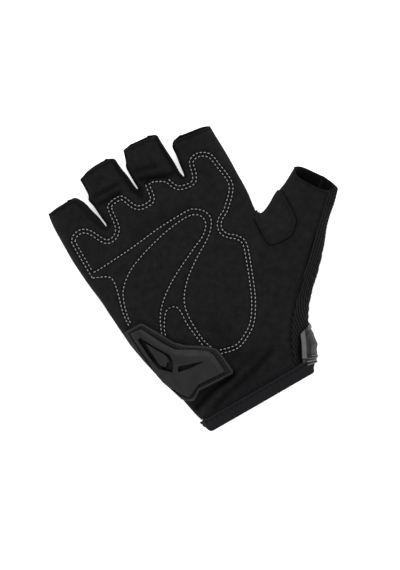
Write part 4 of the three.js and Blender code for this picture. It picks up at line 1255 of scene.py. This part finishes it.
def add_camera():
    camera = put("camera", bpy.data.cameras.new("camera"))
    camera.data.lens = LENS
    camera.data.sensor_width = SENSOR
    camera.data.clip_end = FAR_CLIP
    x, y, z = PHOTO_CENTRE
    camera.location = (x, y, z + PHOTO_HEIGHT * LENS / SENSOR)
    camera.rotation_euler = (0, 0, PHOTO_TURN)
    bpy.context.scene.camera = camera


def add_lamp():
    lamp = put("lamp", bpy.data.lights.new("lamp", "AREA"))
    lamp.data.shape = "DISK"
    lamp.data.size = LAMP.size
    lamp.data.energy = LAMP.power
    lamp.location = LAMP.place
    lamp.rotation_euler = (-lamp.location).to_track_quat("-Z", "Y").to_euler()


def add_stage():
    """Plain pale floor that glows faintly, like a light table, and soft sky."""
    mesh = bpy.data.meshes.new("floor")
    far = FLOOR_HALF
    corners = [(-far, -far, FLOOR), (far, -far, FLOOR), (far, far, FLOOR), (-far, far, FLOOR)]
    mesh.from_pydata(corners, [], [(0, 1, 2, 3)])
    nodes = Nodes("floor_white", 1, 0)
    shade = nodes.mix(nodes.spread(nodes.noise(2, 2), 0, 1), *((tone,) * 3 for tone in FLOOR_SHADES))
    nodes.feed(nodes.shader, {
        "Base Color": shade, "Emission Color": (1, 1, 1, 1), "Emission Strength": FLOOR_GLOW})
    mesh.materials.append(nodes.material)
    put("floor", mesh)
    world = bpy.data.worlds.new("sky")
    bpy.context.scene.world = world
    world.use_nodes = True
    background = world.node_tree.nodes["Background"]
    background.inputs["Color"].default_value = (1, 1, 1, 1)
    background.inputs["Strength"].default_value = SKY
    bpy.context.scene.view_settings.view_transform = "Standard"


def soft_piece(name, sheet, slot, node, relief=plain_relief):
    points, faces, tone = sheet.build(relief)
    return mesh_object(name, points, faces, tone, slot, slot, node)


def thread_piece(name, runs, size, height_at, material, slot):
    return mesh_object(name, *stitches(runs, size, height_at), 1, material, slot)


def always(height):
    return lambda places: np.full(len(places), height)


add_camera()
add_lamp()
add_stage()

palm = soft_piece("palm_suede_panel", hand_panel(1, PALM_DETAIL), "palm_suede", "palm_panel", quilt_relief)
back = soft_piece("back_knit_panel", hand_panel(-1, BACK_DETAIL), "back_knit", "back_panel")
# Finger strips, each with its own painted light or shade
strips = {
    gap: soft_piece(
        f"strip_{gap}", finger_strip(GAPS[gap]), "strip_knit", f"fourchette_{gap}",
        lambda *at: plain_relief(*at, shade))
    for gap, shade in STRIP_SHADE.items()
}
side = soft_piece("ribbed_side_panel", side_panel(), "side_mesh", "side_mesh_panel", rib_relief)
patch = soft_piece("crotch_patch", thumb_patch(), "patch_suede", "thumb_patch", patch_relief)
hem = soft_piece("cuff_binding", cuff_hem(), "hem_binding", "cuff_hem", hem_relief)
strap = soft_piece("webbing_strap", wrist_strap(), "strap_webbing", "wrist_strap")
mesh_object("strap_anchor", *strap_root(), "root_rubber", "root_rubber", "strap_root", MOULD_CREASE)
mesh_object("closure_tab", *strap_tab(), "tab_rubber", "tab_rubber", "strap_tab", MOULD_CREASE)

thread_piece("palm_stitches", white_runs(), THREAD, quilt_relief, "white_thread", "palm_suede")
hem_line = cuff_places(np.array([HEM.stitches_at]))[0]
hem_thread = thread_piece(
    "hem_stitches", [(hem_line, 1), (hem_line, -1)], HEM_THREAD,
    always(hem_height(HEM.stitches_at)), "black_thread", "hem_binding")
seam_rows = between(SIDE_STITCHES.start, 1, shares(SIDE_STITCHES.steps)) * SEAM_CURVE.last
side_thread = thread_piece(
    "side_seam_stitches", [(SEAM_CURVE.at(seam_rows, SIDE_STITCHES.inset), 1)], HEM_THREAD,
    always(SIDE_STITCHES.height), "black_thread", "side_mesh")
patch_line = spline(PATCH_OUTLINE)
patch_line = patch_line - to_the_right(patch_line) * PATCH_STITCHES.inset
patch_thread = thread_piece(
    "patch_stitches", [(patch_line, 1)], PATCH_THREAD, always(PATCH.high - PATCH_STITCHES.sink),
    "black_thread", "patch_suede")
